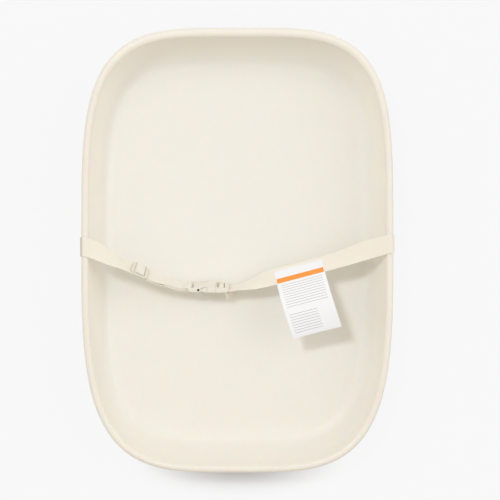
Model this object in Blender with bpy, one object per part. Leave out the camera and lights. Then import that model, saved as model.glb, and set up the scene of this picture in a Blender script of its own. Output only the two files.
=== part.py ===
"""Changing mat: one foam moulding with a raised rim, and a safety belt across it.

The mat lies on its flat base. +X is the user's right, +Y points to the head end and +Z is up.
The origin is the middle of the mat's footprint, on the surface that it lies on.
All lengths are in metres.
"""

import math

import bmesh
import bpy
from mathutils import Matrix, Vector

# Mat body
MAT_LENGTH = 0.700
MAT_WIDTH = 0.490
WIDEST_SHARE = 0.523
HEAD_SQUARENESS = 4.05
FOOT_SQUARENESS = 3.56
RIM_HEIGHT = 0.095
FOOT_RIM_HEIGHT = 0.072
LIP_WIDTH = 0.0125
LIP_CROWN = 0.007
SIDE_WALL_RUN = 0.036
HEAD_WALL_RUN = 0.060
FOOT_WALL_RUN = 0.044
FLOOR_THICKNESS = 0.026
FLOOR_DISH = 0.0025
BASE_INSET = 0.038
QUARTER_STEPS = 14
OUTLINE_SAMPLES = 600

# Each pair is a share of the base inset and a share of the rim's height
OUTER_WALL_SHARES = ((1.0, 0.0), (0.86, 0.018), (0.72, 0.07), (0.45, 0.30), (0.22, 0.56), (0.06, 0.80))
LIP_ANGLES_DEG = (0, 30, 60, 90, 120, 150, 180)
# Each pair is a share of the wall's run and a share of its height
INNER_WALL_SHARES = ((0.10, 0.76), (0.24, 0.50), (0.42, 0.26), (0.66, 0.08), (1.0, 0.0))
FLOOR_RING_SHARES = (0.62, 0.28)
# The rim falls between these shares of the distance from the widest line to the foot
RIM_FALL_SHARES = (0.18, 1.0)

# Belt webbing
WEBBING_WIDTH = 0.030
WEBBING_THICKNESS = 0.0013
FIT_GAP = 0.0004
LEFT_CROSSING_Y = 0.006
RIGHT_CROSSING_Y = 0.0105
BELT_SWAY = 0.0636
BUCKLE_REST_HEIGHT = 0.048
BUCKLE_TILT_DEG = 74.0
STUB_REACH = 0.040
ROUTE_SAMPLES = 800
RIBBON_STEP = 0.0035

# Channel for the belt under the mat, with two moulded bridges
CHANNEL_DEPTH = 0.0095
CHANNEL_SIDE_GAP = 0.003
BRIDGE_THICKNESS = 0.0056
BRIDGE_LENGTH = 0.030
BRIDGE_PLACE_SHARE = 0.53
CUT_OVERRUN = 0.002

# Each row is a share of the way from a rim to the buckle, of the sway, of the drop and of the tilt
LEFT_ROUTE_SHARES = ((0.105, 0.10, 0.09, 0.19), (0.211, 0.242, 0.19, 0.46))
SLIDER_PLACE_SHARES = (0.524, 0.607, 0.506, 0.81)
SLIDER_SLOPES = (-0.42, -0.31)
LEFT_END_SHARES = (0.806, 0.877, 0.80, 0.92)
RIGHT_END_SHARES = (0.878, 0.95, 0.92, 0.81)
TAG_PLACE_SHARES = (0.565, 0.617, 0.66, 0.45)
TAG_SLOPES = (0.268, 0.15)
RIGHT_ROUTE_SHARES = ((0.135, 0.14, 0.20, 0.11), (0.067, 0.066, 0.095, 0.04))
STRAIGHT_LEAD = 0.004

# The belt swings about a line through both places where it leaves the rim
SWING_DROP = 0.0035

# Three-bar slider
SLIDER_LENGTH = 0.0285
SLIDER_WIDTH = 0.038
SLIDER_THICKNESS = 0.0030
SLIDER_BAR_WIDTH = 0.0094
SLIDER_BAR_THICKNESS = 0.0020
SLIDER_SLOT_WIDTH = 0.0053
SLIDER_CORNER = 0.0085
SLOT_SIDE_GAP = 0.0006
# Each pair is a share of the slot from its outer edge and a share of the rise over the bar
HUMP_SHARES = ((0.0, 0.0), (0.26, 0.17), (0.70, 0.79), (0.89, 0.95), (1.10, 1.0))

# Side-release buckle
BUCKLE_PARTING_SHARE = -0.140
BUCKLE_WIDTH = 0.0384
BUCKLE_THICKNESS = 0.0084
BUCKLE_BEVEL = 0.0011
SOCKET_LENGTH = 0.044
SOCKET_CORNER = 0.005
BAR_THICKNESS = 0.0034
SOCKET_BAR_WIDTH = 0.0046
SOCKET_SLOT_WIDTH = 0.0044
CAVITY_DEPTH = 0.030
CAVITY_HEIGHT = 0.0050
SIDE_WALL = 0.0034
WINDOW_LENGTH = 0.0142
WINDOW_END = 0.0128
PART_GAP = 0.0003
PLUG_FLANGE = 0.0020
PLUG_SLOT_WIDTH = 0.0046
PLUG_BAR_WIDTH = 0.0048
PLUG_END_BAR_WIDTH = 0.0060
TONGUE_LENGTH = 0.020
TONGUE_WIDTH = 0.0080
ARM_THICKNESS = 0.0042
ARM_ROOT_WIDTH = 0.0030
ARM_ROOT_PLACE = 0.0110
ARM_GAP = 0.0006
PRONG_CLEARANCE = 0.0006
# Each pair is a share of the prong from its catch and a share of the step from the wall to its face
PRONG_SHARES = ((0.0, 0.92), (0.12, 1.0), (0.45, 1.0), (0.75, 0.5), (1.0, -0.25))
# Each pair is a share of a plug slot from its outer edge and a share of the webbing's level there
LADDER_TURN_SHARES = ((-0.17, -1.0), (0.17, -0.90), (0.33, -0.55), (0.67, 0.55), (0.83, 0.90), (1.17, 1.0))
TAIL_LENGTH = 0.024
# Each row is a share of the tail's length along the belt and behind it, and how far it has turned
TAIL_SHARES = ((0.14, 0.18, 0.18), (0.28, 0.35, 0.35), (0.40, 0.50, 0.50))

# Sewn tag
TAG_WIDTH = 0.079
TAG_SEWN_LENGTH = 0.024
TAG_FREE_LENGTH = 0.094
TAG_THICKNESS = 0.0005
TAG_DROOP_DEG = 58.0
TAG_BEND_STEPS = 8
TAG_SKEW_SHARE = 0.087


# Edges that turn by more than these angles are shaded sharp, bevelled, or joined by an arc
SHADE_BREAK_DEG = 40
BEVEL_BREAK_DEG = 50
PATH_BREAK_DEG = 45


# Worked-out places
HALF_WIDTH = MAT_WIDTH / 2
FOOT_HALF = MAT_LENGTH * WIDEST_SHARE
HEAD_HALF = MAT_LENGTH - FOOT_HALF
WIDEST_Y = FOOT_HALF - MAT_LENGTH / 2
WEB_OFFSET = FIT_GAP + WEBBING_THICKNESS / 2
CREST_X = HALF_WIDTH - LIP_WIDTH / 2
CREST_Z = RIM_HEIGHT + WEB_OFFSET
STUB_X = HALF_WIDTH - STUB_REACH
BUCKLE_Y = LEFT_CROSSING_Y - BELT_SWAY
SWING_AXIS = Vector((0, (LEFT_CROSSING_Y + RIGHT_CROSSING_Y) / 2, CREST_Z - SWING_DROP))
PARTING_X = HALF_WIDTH * BUCKLE_PARTING_SHARE
SOCKET_END_X = PARTING_X - SOCKET_LENGTH
PLUG_LENGTH = PLUG_FLANGE + 2 * PLUG_SLOT_WIDTH + PLUG_BAR_WIDTH + PLUG_END_BAR_WIDTH
PLUG_END_X = PARTING_X + PART_GAP + PLUG_LENGTH


def smooth(share):
    """Eases a share from 0 to 1, and holds it at both ends."""
    held = min(1.0, max(0.0, share))
    return held * held * (3 - 2 * held)


def mix(low, high, share):
    return low + (high - low) * share


def material(name, colour, roughness):
    """A plain shader with one colour."""
    made = bpy.data.materials.new(name)
    made.use_nodes = True
    shader = made.node_tree.nodes["Principled BSDF"]
    shader.inputs["Base Color"].default_value = (*colour, 1.0)
    shader.inputs["Roughness"].default_value = roughness
    shader.inputs["Metallic"].default_value = 0.0
    return made


def add_object(name, bm, finish, parent=None):
    """Turns a bmesh into a named object whose faces point out."""
    bmesh.ops.recalc_face_normals(bm, faces=bm.faces)
    mesh = bpy.data.meshes.new(name)
    bm.to_mesh(mesh)
    bm.free()
    mesh.materials.append(finish)
    mesh.shade_smooth()
    mesh.set_sharp_from_angle(angle=math.radians(SHADE_BREAK_DEG))
    made = bpy.data.objects.new(name, mesh)
    bpy.context.scene.collection.objects.link(made)
    made.parent = parent
    return made


def add_frame(name, matrix, parent=None):
    """An empty that carries pieces which move together."""
    frame = bpy.data.objects.new(name, None)
    bpy.context.scene.collection.objects.link(frame)
    frame.parent = parent
    frame.matrix_basis = matrix if parent is None else parent.matrix_basis.inverted() @ matrix
    return frame


def combine(target, helper, operation):
    """Joins or cuts the target with a helper that isn't part of the mat."""
    helper.hide_render = True
    helper.display_type = "WIRE"
    step = target.modifiers.new(operation.title(), "BOOLEAN")
    step.operation = operation
    step.solver = "EXACT"
    step.object = helper


def prism(outline, low, high):
    """A bmesh with a flat outline in X and Y, between two heights."""
    bm = bmesh.new()
    bottom = [bm.verts.new((x, y, low)) for x, y in outline]
    top = [bm.verts.new((x, y, high)) for x, y in outline]
    bm.faces.new(bottom)
    bm.faces.new(top)
    for i in range(len(outline)):
        j = (i + 1) % len(outline)
        bm.faces.new((bottom[i], bottom[j], top[j], top[i]))
    return bm


def rectangle(left, right, near, far):
    return [(left, near), (right, near), (right, far), (left, far)]


def rounded_rectangle(left, right, near, far, left_radius, right_radius, steps=5):
    """A rectangle whose two left and two right corners have their own radius."""
    corners = (
        (right - right_radius, far - right_radius, right_radius, 0),
        (left + left_radius, far - left_radius, left_radius, 90),
        (left + left_radius, near + left_radius, left_radius, 180),
        (right - right_radius, near + right_radius, right_radius, 270),
    )
    points = []
    for x, y, radius, start in corners:
        for i in range(steps + 1):
            angle = math.radians(start + 90 * i / steps)
            points.append((x + radius * math.cos(angle), y + radius * math.sin(angle)))
    return points


def bevel_edges(bm, width, segments=2):
    """Rounds every sharp edge of a bmesh."""
    bmesh.ops.recalc_face_normals(bm, faces=bm.faces)
    sharp = [e for e in bm.edges if e.calc_face_angle(0.0) > math.radians(BEVEL_BREAK_DEG)]
    bmesh.ops.bevel(bm, geom=sharp, offset=width, segments=segments, profile=0.5, affect="EDGES")


# Outline of the mat

def quarter(half_length, squareness):
    """Evenly spaced points and normals of a quarter outline, from the side to the end."""
    points = []
    for i in range(OUTLINE_SAMPLES + 1):
        angle = math.pi / 2 * i / OUTLINE_SAMPLES
        x = HALF_WIDTH * math.cos(angle) ** (2 / squareness) if i < OUTLINE_SAMPLES else 0.0
        y = half_length * math.sin(angle) ** (2 / squareness)
        points.append(Vector((x, y)))
    lengths = [0.0]
    for first, second in zip(points, points[1:]):
        lengths.append(lengths[-1] + (second - first).length)
    chosen = []
    k = 0
    for step in range(QUARTER_STEPS + 1):
        wanted = lengths[-1] * step / QUARTER_STEPS
        while k < OUTLINE_SAMPLES - 1 and lengths[k + 1] < wanted:
            k += 1
        share = (wanted - lengths[k]) / (lengths[k + 1] - lengths[k])
        point = points[k].lerp(points[k + 1], share)
        slope_x = (point.x / HALF_WIDTH) ** (squareness - 1) / HALF_WIDTH
        slope_y = (point.y / half_length) ** (squareness - 1) / half_length
        chosen.append((point, Vector((slope_x, slope_y)).normalized()))
    return chosen


def outline():
    """All points of the outline with their outward normals, anticlockwise from +X."""
    head = quarter(HEAD_HALF, HEAD_SQUARENESS)
    foot = quarter(FOOT_HALF, FOOT_SQUARENESS)
    ring = []
    for rows, sign_x, sign_y in ((head, 1, 1), (head[::-1], -1, 1), (foot, -1, -1), (foot[::-1], 1, -1)):
        for point, normal in rows[:-1]:
            place = Vector((sign_x * point.x, sign_y * point.y + WIDEST_Y))
            ring.append((place, Vector((sign_x * normal.x, sign_y * normal.y))))
    return ring


def rim_height(y):
    """Height of the rim, which falls towards the foot end."""
    start, end = RIM_FALL_SHARES
    share = ((WIDEST_Y - y) / FOOT_HALF - start) / (end - start)
    return mix(RIM_HEIGHT, FOOT_RIM_HEIGHT, smooth(share))


def wall_run(normal):
    """How far the inner wall reaches in from the lip, for a place on the outline."""
    end_run = HEAD_WALL_RUN if normal.y > 0 else FOOT_WALL_RUN
    return mix(SIDE_WALL_RUN, end_run, smooth(abs(normal.y)))


def wall_profile(height, run):
    """Section of the wall from the base edge over the lip to the floor, as (inset, z) pairs."""
    rows = [(BASE_INSET * inset, height * up) for inset, up in OUTER_WALL_SHARES]
    shoulder = height - LIP_CROWN
    for angle in LIP_ANGLES_DEG:
        turn = math.radians(angle)
        rows.append((LIP_WIDTH / 2 * (1 - math.cos(turn)), shoulder + LIP_CROWN * math.sin(turn)))
    for inward, up in INNER_WALL_SHARES:
        rows.append((LIP_WIDTH + run * inward, mix(FLOOR_THICKNESS, shoulder, up)))
    return rows


def foam_body():
    """The moulding: a flat base, a rolled rim and a dished floor."""
    bm = bmesh.new()
    ring = outline()
    rings = []
    for point, normal in ring:
        profile = wall_profile(rim_height(point.y), wall_run(normal))
        rings.append([bm.verts.new((*(point - normal * inset), z)) for inset, z in profile])
    count = len(rings[0])
    loops = [[column[k] for column in rings] for k in range(count)]
    bm.faces.new(loops[0])
    edge = [v.co.copy() for v in loops[-1]]
    centre = sum(edge, Vector()) / len(edge)
    for share in FLOOR_RING_SHARES:
        z = FLOOR_THICKNESS - FLOOR_DISH * (1 - share ** 2)
        loops.append([bm.verts.new((*centre.xy.lerp(p.xy, share), z)) for p in edge])
    for low, high in zip(loops, loops[1:]):
        for i in range(len(ring)):
            j = (i + 1) % len(ring)
            bm.faces.new((low[i], low[j], high[j], high[i]))
    middle = bm.verts.new((*centre.xy, FLOOR_THICKNESS - FLOOR_DISH))
    last = loops[-1]
    for i in range(len(ring)):
        bm.faces.new((last[i], last[(i + 1) % len(ring)], middle))
    return bm


def channel_cutter():
    """The space under the mat that the belt runs through, round two bridges."""
    reach = HALF_WIDTH + CUT_OVERRUN
    place = HALF_WIDTH * BRIDGE_PLACE_SHARE
    inner, outer = place - BRIDGE_LENGTH / 2, place + BRIDGE_LENGTH / 2
    half = [(inner, -CUT_OVERRUN), (inner, BRIDGE_THICKNESS), (outer, BRIDGE_THICKNESS),
            (outer, -CUT_OVERRUN), (reach, -CUT_OVERRUN), (reach, CHANNEL_DEPTH)]
    section = half + [(-x, z) for x, z in reversed(half)]
    half_width = WEBBING_WIDTH / 2 + CHANNEL_SIDE_GAP
    bm = prism(section, -half_width, half_width)
    turn = Matrix.Rotation(math.radians(90), 4, "X")
    middle = (LEFT_CROSSING_Y + RIGHT_CROSSING_Y) / 2
    bmesh.ops.transform(bm, matrix=Matrix.Translation((0, middle, 0)) @ turn, verts=bm.verts)
    return bm


# Route of the belt over the tray

def route_point(side, shares):
    """A point of the route: x, y, z and tilt, at shares of the way from a rim to the buckle."""
    along, sway, drop, tilt = shares
    start_y = LEFT_CROSSING_Y if side < 0 else RIGHT_CROSSING_Y
    end_x = SOCKET_END_X if side < 0 else PLUG_END_X
    return (mix(side * CREST_X, end_x, along), mix(start_y, BUCKLE_Y, sway),
            mix(CREST_Z, BUCKLE_REST_HEIGHT, drop), BUCKLE_TILT_DEG * tilt)


def straight_span(centre, slopes, length):
    """Four points on one line, so that the belt runs straight over a stiff piece."""
    x, y, z, tilt = centre
    reach = length / 2 + STRAIGHT_LEAD
    offsets = (-reach - STRAIGHT_LEAD, -reach, reach, reach + STRAIGHT_LEAD)
    return [(x + d, y + d * slopes[0], z + d * slopes[1], tilt) for d in offsets]


def belt_route():
    """The points that the belt's middle line runs through, from the left rim to the right one."""
    slider = route_point(-1, SLIDER_PLACE_SHARES)
    tag = route_point(1, TAG_PLACE_SHARES)
    buckle_x = (SOCKET_END_X + PLUG_END_X) / 2
    buckle = (buckle_x, BUCKLE_Y, BUCKLE_REST_HEIGHT, BUCKLE_TILT_DEG)
    points = [route_point(-1, (0, 0, 0, 0))]
    points += [route_point(-1, row) for row in LEFT_ROUTE_SHARES]
    points += straight_span(slider, SLIDER_SLOPES, SLIDER_LENGTH)
    points.append(route_point(-1, LEFT_END_SHARES))
    points += straight_span(buckle, (0, 0), PLUG_END_X - SOCKET_END_X)
    points.append(route_point(1, RIGHT_END_SHARES))
    points += straight_span(tag, TAG_SLOPES, TAG_WIDTH)
    points += [route_point(1, row) for row in RIGHT_ROUTE_SHARES]
    points.append(route_point(1, (0, 0, 0, 0)))
    return [Vector(p) for p in points]


def sample_route(points):
    """A smooth curve through the route's points, in x order, as a long list of samples."""
    slopes = []
    for i in range(len(points)):
        before, after = points[max(i - 1, 0)], points[min(i + 1, len(points) - 1)]
        here = points[i]
        back = (here - before) / (here[0] - before[0]) if i > 0 else None
        ahead = (after - here) / (after[0] - here[0]) if i < len(points) - 1 else None
        if back is None or ahead is None:
            slopes.append(ahead if back is None else back)
            continue
        weight = (here[0] - before[0]) / (after[0] - before[0])
        slopes.append(ahead * weight + back * (1 - weight))
    samples = []
    k = 0
    for i in range(ROUTE_SAMPLES + 1):
        x = mix(points[0][0], points[-1][0], i / ROUTE_SAMPLES)
        while k < len(points) - 2 and points[k + 1][0] < x:
            k += 1
        step = points[k + 1][0] - points[k][0]
        t = (x - points[k][0]) / step
        samples.append(
            points[k] * (2 * t ** 3 - 3 * t ** 2 + 1) + slopes[k] * (step * (t ** 3 - 2 * t ** 2 + t))
            + points[k + 1] * (3 * t ** 2 - 2 * t ** 3) + slopes[k + 1] * (step * (t ** 3 - t ** 2))
        )
    return samples


SAMPLES = sample_route(belt_route())
DISTANCES = [0.0]
for first_sample, second_sample in zip(SAMPLES, SAMPLES[1:]):
    DISTANCES.append(DISTANCES[-1] + (second_sample.xyz - first_sample.xyz).length)


def distance_at(x):
    """How far along the belt a given x lies."""
    place = (x - SAMPLES[0][0]) / (SAMPLES[-1][0] - SAMPLES[0][0]) * ROUTE_SAMPLES
    k = min(ROUTE_SAMPLES - 1, max(0, int(place)))
    return mix(DISTANCES[k], DISTANCES[k + 1], place - k)


def belt_frame(distance):
    """Middle, direction along, direction across and front normal of the belt."""
    k = 0
    step = ROUTE_SAMPLES
    while step > 1:
        step = (step + 1) // 2
        if k + step < ROUTE_SAMPLES and DISTANCES[k + step] <= distance:
            k += step
    share = (distance - DISTANCES[k]) / (DISTANCES[k + 1] - DISTANCES[k])
    here = SAMPLES[k].lerp(SAMPLES[k + 1], share)
    tilt = math.radians(here[3])
    low, high = SAMPLES[max(k - 1, 0)], SAMPLES[min(k + 2, ROUTE_SAMPLES)]
    along = (high.xyz - low.xyz).normalized()
    lean = Vector((0, -math.cos(tilt), math.sin(tilt)))
    across = (lean - along * lean.dot(along)).normalized()
    return here.xyz, along, across, across.cross(along)


def fitting_matrix(distance):
    """Frame of a stiff piece on the belt: x along it, z out of its front face."""
    middle, along, across, front = belt_frame(distance)
    turn = Matrix((along, -across, front)).transposed()
    return Matrix.Translation(middle) @ turn.to_4x4()


def web_station(distance, offset):
    """A place on the webbing, off the belt's middle line by an offset along the front normal."""
    middle, _, across, front = belt_frame(distance)
    return middle + front * offset, across


def ribbon(stations, thickness=WEBBING_THICKNESS, width=WEBBING_WIDTH):
    """A bmesh strip along stations of (middle, direction across)."""
    bm = bmesh.new()
    rows = []
    for i, (middle, across) in enumerate(stations):
        before = stations[max(i - 1, 0)][0]
        after = stations[min(i + 1, len(stations) - 1)][0]
        if 0 < i < len(stations) - 1:
            along = (after - middle).normalized() + (middle - before).normalized()
        else:
            along = after - before
        side = across.normalized() * (width / 2)
        lift = across.cross(along).normalized() * (thickness / 2)
        corners = (middle - side - lift, middle + side - lift, middle + side + lift, middle - side + lift)
        rows.append([bm.verts.new(corner) for corner in corners])
    for first, second in zip(rows, rows[1:]):
        for i in range(4):
            j = (i + 1) % 4
            bm.faces.new((first[i], first[j], second[j], second[i]))
    bm.faces.new(rows[0])
    bm.faces.new(rows[-1])
    return bm


def steps_between(start, end):
    """Distances from start to end, a ribbon step apart or less, without the end."""
    count = max(1, math.ceil(abs(end - start) / RIBBON_STEP))
    return [mix(start, end, i / count) for i in range(count)]


def offset_path(points, distance):
    """Points beside a path in a plane, on its left, with round joins at sharp turns."""
    normals = []
    for (x0, z0), (x1, z1) in zip(points, points[1:]):
        length = math.hypot(x1 - x0, z1 - z0)
        normals.append(Vector((-(z1 - z0) / length, (x1 - x0) / length)))
    sharp = math.cos(math.radians(PATH_BREAK_DEG))
    moved = [Vector(points[0]) + normals[0] * distance]
    for point, before, after in zip(points[1:-1], normals, normals[1:]):
        bisector = (before + after).normalized()
        if before.dot(after) < sharp:
            early, late = (before + bisector).normalized(), (bisector + after).normalized()
            moved += [Vector(point) + turn * distance for turn in (before, early, bisector, late, after)]
        else:
            moved.append(Vector(point) + bisector * (distance / bisector.dot(before)))
    moved.append(Vector(points[-1]) + normals[-1] * distance)
    return moved


def rim_wrap():
    """Section of the belt from the crest of the lip down the outer wall into the channel."""
    profile = wall_profile(RIM_HEIGHT, SIDE_WALL_RUN)
    crest = len(OUTER_WALL_SHARES) + LIP_ANGLES_DEG.index(90)
    rows = []
    for (inset, z), (next_inset, next_z) in zip(profile, profile[1:crest + 1]):
        if z < CHANNEL_DEPTH <= next_z:
            share = (CHANNEL_DEPTH - z) / (next_z - z)
            corner = HALF_WIDTH - mix(inset, next_inset, share)
            rows = [(corner - BRIDGE_LENGTH / 2, CHANNEL_DEPTH), (corner, CHANNEL_DEPTH)]
        if next_z > CHANNEL_DEPTH:
            rows.append((HALF_WIDTH - next_inset, next_z))
    rows.append((CREST_X - LIP_WIDTH / 2, RIM_HEIGHT))
    return offset_path(rows, -WEB_OFFSET)[:-1]


def stub_stations(stub, crest):
    """From the end of a stub to the crest, where the belt's width lies along the rim."""
    rim_across = Vector((0, -1, 0))
    _, _, end_across, _ = belt_frame(stub)
    stations = []
    for distance in steps_between(stub, crest):
        share = (distance - crest) / (stub - crest)
        stations.append((belt_frame(distance)[0], rim_across.lerp(end_across, smooth(share)).normalized()))
    return stations


def back_run_stations():
    """The belt from the left stub over the left rim, under the mat and up to the right stub."""
    wrap = rim_wrap()
    place = HALF_WIDTH * BRIDGE_PLACE_SHARE
    reach = place + BRIDGE_LENGTH
    run_z = BRIDGE_THICKNESS + WEB_OFFSET
    right = [Vector((place - BRIDGE_LENGTH, run_z)), Vector((reach, run_z))] + wrap
    section = [Vector((-p.x, p.y)) for p in reversed(right)] + right
    across = Vector((0, -1, 0))
    stations = stub_stations(distance_at(-STUB_X), 0)
    for point in section:
        y = mix(LEFT_CROSSING_Y, RIGHT_CROSSING_Y, (point.x + CREST_X) / (2 * CREST_X))
        stations.append((Vector((point.x, y, point.y)), across))
    return stations + stub_stations(distance_at(STUB_X), DISTANCES[-1])[::-1]


def bar_turn(centre, radius, start_deg, end_deg, steps=6):
    """Points of (distance, offset) on an arc round a bar."""
    points = []
    for i in range(steps + 1):
        angle = math.radians(mix(start_deg, end_deg, i / steps))
        points.append((centre + radius * math.cos(angle), radius * math.sin(angle)))
    return points


def left_run_stations():
    """From the left stub through the slider, round the socket's bar and back to the slider."""
    slider = distance_at(route_point(-1, SLIDER_PLACE_SHARES)[0])
    bar_edge = distance_at(SOCKET_END_X + SOCKET_BAR_WIDTH)
    loop = BAR_THICKNESS / 2 + WEB_OFFSET
    rise = FIT_GAP + SLIDER_BAR_THICKNESS + 2 * WEB_OFFSET
    slot_outer = SLIDER_BAR_WIDTH / 2 + SLIDER_SLOT_WIDTH
    hump = [(-slot_outer + SLIDER_SLOT_WIDTH * share, rise * up) for share, up in HUMP_SHARES]
    hump += [(-along, up) for along, up in reversed(hump)]
    path = [(d, 0) for d in steps_between(distance_at(-STUB_X) + PART_GAP, slider - slot_outer)]
    path += [(slider + along, up) for along, up in hump]
    lead = slider + SLIDER_LENGTH / 2 + STRAIGHT_LEAD
    arrive = bar_edge - SOCKET_BAR_WIDTH - STRAIGHT_LEAD / 2
    ease = [(d, loop * smooth((d - lead) / (arrive - lead))) for d in steps_between(lead, arrive)]
    path += ease + [(arrive, loop)]
    path += bar_turn(bar_edge, loop, 90, -90)
    back = -(WEBBING_THICKNESS + 2 * FIT_GAP)
    path.append((arrive, -loop))
    for d in steps_between(lead, arrive)[:0:-1]:
        path.append((d, mix(back, -loop, smooth((d - lead) / (arrive - lead)))))
    path += [(lead, back), (slider - SLIDER_BAR_WIDTH / 2, back)]
    return [web_station(distance, offset) for distance, offset in path]


def plug_places():
    """Distances along the belt of the plug's slots and bars."""
    start = distance_at(PARTING_X) + PART_GAP + PLUG_FLANGE
    bar = start + PLUG_SLOT_WIDTH
    slot = bar + PLUG_BAR_WIDTH
    return bar, slot, slot + PLUG_SLOT_WIDTH


def right_run_stations():
    """From the right stub behind the plug's end bar, over its middle bar and back as a tail."""
    bar, slot, end_bar = plug_places()
    level = BAR_THICKNESS / 2 + WEB_OFFSET
    plug_end = distance_at(PLUG_END_X)
    settle = plug_end + TAIL_LENGTH
    path = [(d, 0) for d in steps_between(distance_at(STUB_X) - PART_GAP, settle)]
    for d in steps_between(settle, plug_end):
        path.append((d, -level * smooth((settle - d) / (settle - plug_end))))
    path.append((plug_end, -level))
    path += [(end_bar - PLUG_SLOT_WIDTH * share, level * up) for share, up in LADDER_TURN_SHARES]
    path += bar_turn(bar, level, 90, 270)
    under = -(level + WEBBING_THICKNESS + FIT_GAP)
    path += [((bar + slot) / 2, mix(-level, under, 2 / 3)), (slot, under), (plug_end, under - FIT_GAP)]
    stations = [web_station(distance, offset) for distance, offset in path]
    for onward, behind, turned in TAIL_SHARES:
        middle, along, across, front = belt_frame(plug_end + TAIL_LENGTH * onward)
        place = middle + front * (under - FIT_GAP - TAIL_LENGTH * behind)
        stations.append((place, (across + along * turned).normalized()))
    return stations


def slider_body():
    """The slider's plate, with two slots round a thinner middle bar."""
    base = WEB_OFFSET
    half = SLIDER_LENGTH / 2
    across = SLIDER_WIDTH / 2
    plate = prism(rounded_rectangle(-half, half, -across, across, SLIDER_CORNER, SLIDER_CORNER),
                  base, base + SLIDER_THICKNESS)
    bevel_edges(plate, SLIDER_THICKNESS / 4)
    cuts = []
    slot_half = WEBBING_WIDTH / 2 + SLOT_SIDE_GAP
    inner = SLIDER_BAR_WIDTH / 2
    outer = inner + SLIDER_SLOT_WIDTH
    for side in (-1, 1):
        left, right = sorted((side * inner, side * outer))
        cuts.append(prism(rectangle(left, right, -slot_half, slot_half), -CUT_OVERRUN,
                          base + SLIDER_THICKNESS + CUT_OVERRUN))
    cuts.append(prism(rectangle(-inner - FIT_GAP, inner + FIT_GAP, -slot_half, slot_half),
                      base + SLIDER_BAR_THICKNESS, base + SLIDER_THICKNESS + CUT_OVERRUN))
    return plate, cuts


def socket_body():
    """The socket's shell and the spaces that are cut from it."""
    across = BUCKLE_WIDTH / 2
    half = BUCKLE_THICKNESS / 2
    edge = rounded_rectangle(-SOCKET_LENGTH, 0, -across, across, SOCKET_CORNER, SOCKET_CORNER / 3)
    shell = prism(edge, -half, half)
    bevel_edges(shell, BUCKLE_BEVEL)
    inside = across - SIDE_WALL
    bar_right = -SOCKET_LENGTH + SOCKET_BAR_WIDTH
    high = half + CUT_OVERRUN
    level = CAVITY_HEIGHT / 2
    cavity = prism(rectangle(-CAVITY_DEPTH, CUT_OVERRUN, -inside, inside), -level, level)
    through = across + CUT_OVERRUN
    sides = rectangle(-WINDOW_END - WINDOW_LENGTH, -WINDOW_END, -through, through)
    window = prism(sides, FIT_GAP - level, level - FIT_GAP)
    slot = prism(rectangle(bar_right, bar_right + SOCKET_SLOT_WIDTH, -inside, inside), -high, high)
    cuts = [cavity, window, slot]
    for low, top in ((BAR_THICKNESS / 2, high), (-high, -BAR_THICKNESS / 2)):
        relief = rectangle(-SOCKET_LENGTH - CUT_OVERRUN, bar_right + FIT_GAP, -inside, inside)
        cuts.append(prism(relief, low, top))
    return shell, cuts


def plug_body():
    """The plug's ladder frame, its tongue, and the slots that are cut from it."""
    across = BUCKLE_WIDTH / 2
    half = BUCKLE_THICKNESS / 2
    inside = across - SIDE_WALL
    start = PART_GAP
    end = PART_GAP + PLUG_LENGTH
    edge = rounded_rectangle(start, end, -across, across, SOCKET_CORNER / 3, SOCKET_CORNER)
    frame = prism(edge, -half, half)
    bevel_edges(frame, BUCKLE_BEVEL)
    tip = TONGUE_WIDTH / 2
    edge = rounded_rectangle(-TONGUE_LENGTH, start + PLUG_FLANGE / 2, -tip, tip, tip / 2, PLUG_FLANGE / 8)
    tongue = prism(edge, -ARM_THICKNESS / 2, ARM_THICKNESS / 2)
    first = start + PLUG_FLANGE
    second = first + PLUG_SLOT_WIDTH + PLUG_BAR_WIDTH
    high = half + CUT_OVERRUN
    cuts = []
    for left in (first, second):
        cuts.append(prism(rectangle(left, left + PLUG_SLOT_WIDTH, -inside, inside), -high, high))
    for low, top in ((BAR_THICKNESS / 2, high), (-high, -BAR_THICKNESS / 2)):
        cuts.append(prism(rectangle(first + FIT_GAP, end + CUT_OVERRUN, -inside, inside), low, top))
    return frame, tongue, cuts


def arm_outline():
    """One spring arm seen from the front, from its root to its prong, in the arm's own frame."""
    prong_out = BUCKLE_WIDTH / 2 - PRONG_CLEARANCE - ARM_ROOT_PLACE
    wall_in = BUCKLE_WIDTH / 2 - SIDE_WALL - ARM_GAP - ARM_ROOT_PLACE
    catch = -WINDOW_END - PRONG_CLEARANCE
    tip = -WINDOW_END - WINDOW_LENGTH + PRONG_CLEARANCE
    half = ARM_ROOT_WIDTH / 2
    points = [(0, -half), (0, half), (catch + ARM_ROOT_WIDTH, wall_in - half / 2), (catch, wall_in)]
    points += [(mix(catch, tip, along), mix(wall_in, prong_out, out)) for along, out in PRONG_SHARES]
    points += [(tip, wall_in - ARM_ROOT_WIDTH), (catch - ARM_ROOT_WIDTH, wall_in - ARM_ROOT_WIDTH),
               (catch / 2, -half)]
    return points


def tag_frame_matrix():
    """Frame of the tag: its origin is the sewn edge, on the back of the tag."""
    place = distance_at(route_point(1, TAG_PLACE_SHARES)[0])
    edge = TAG_SEWN_LENGTH - WEBBING_WIDTH / 2
    return fitting_matrix(place) @ Matrix.Translation((0, edge, WEBBING_THICKNESS / 2 + FIT_GAP))


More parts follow.
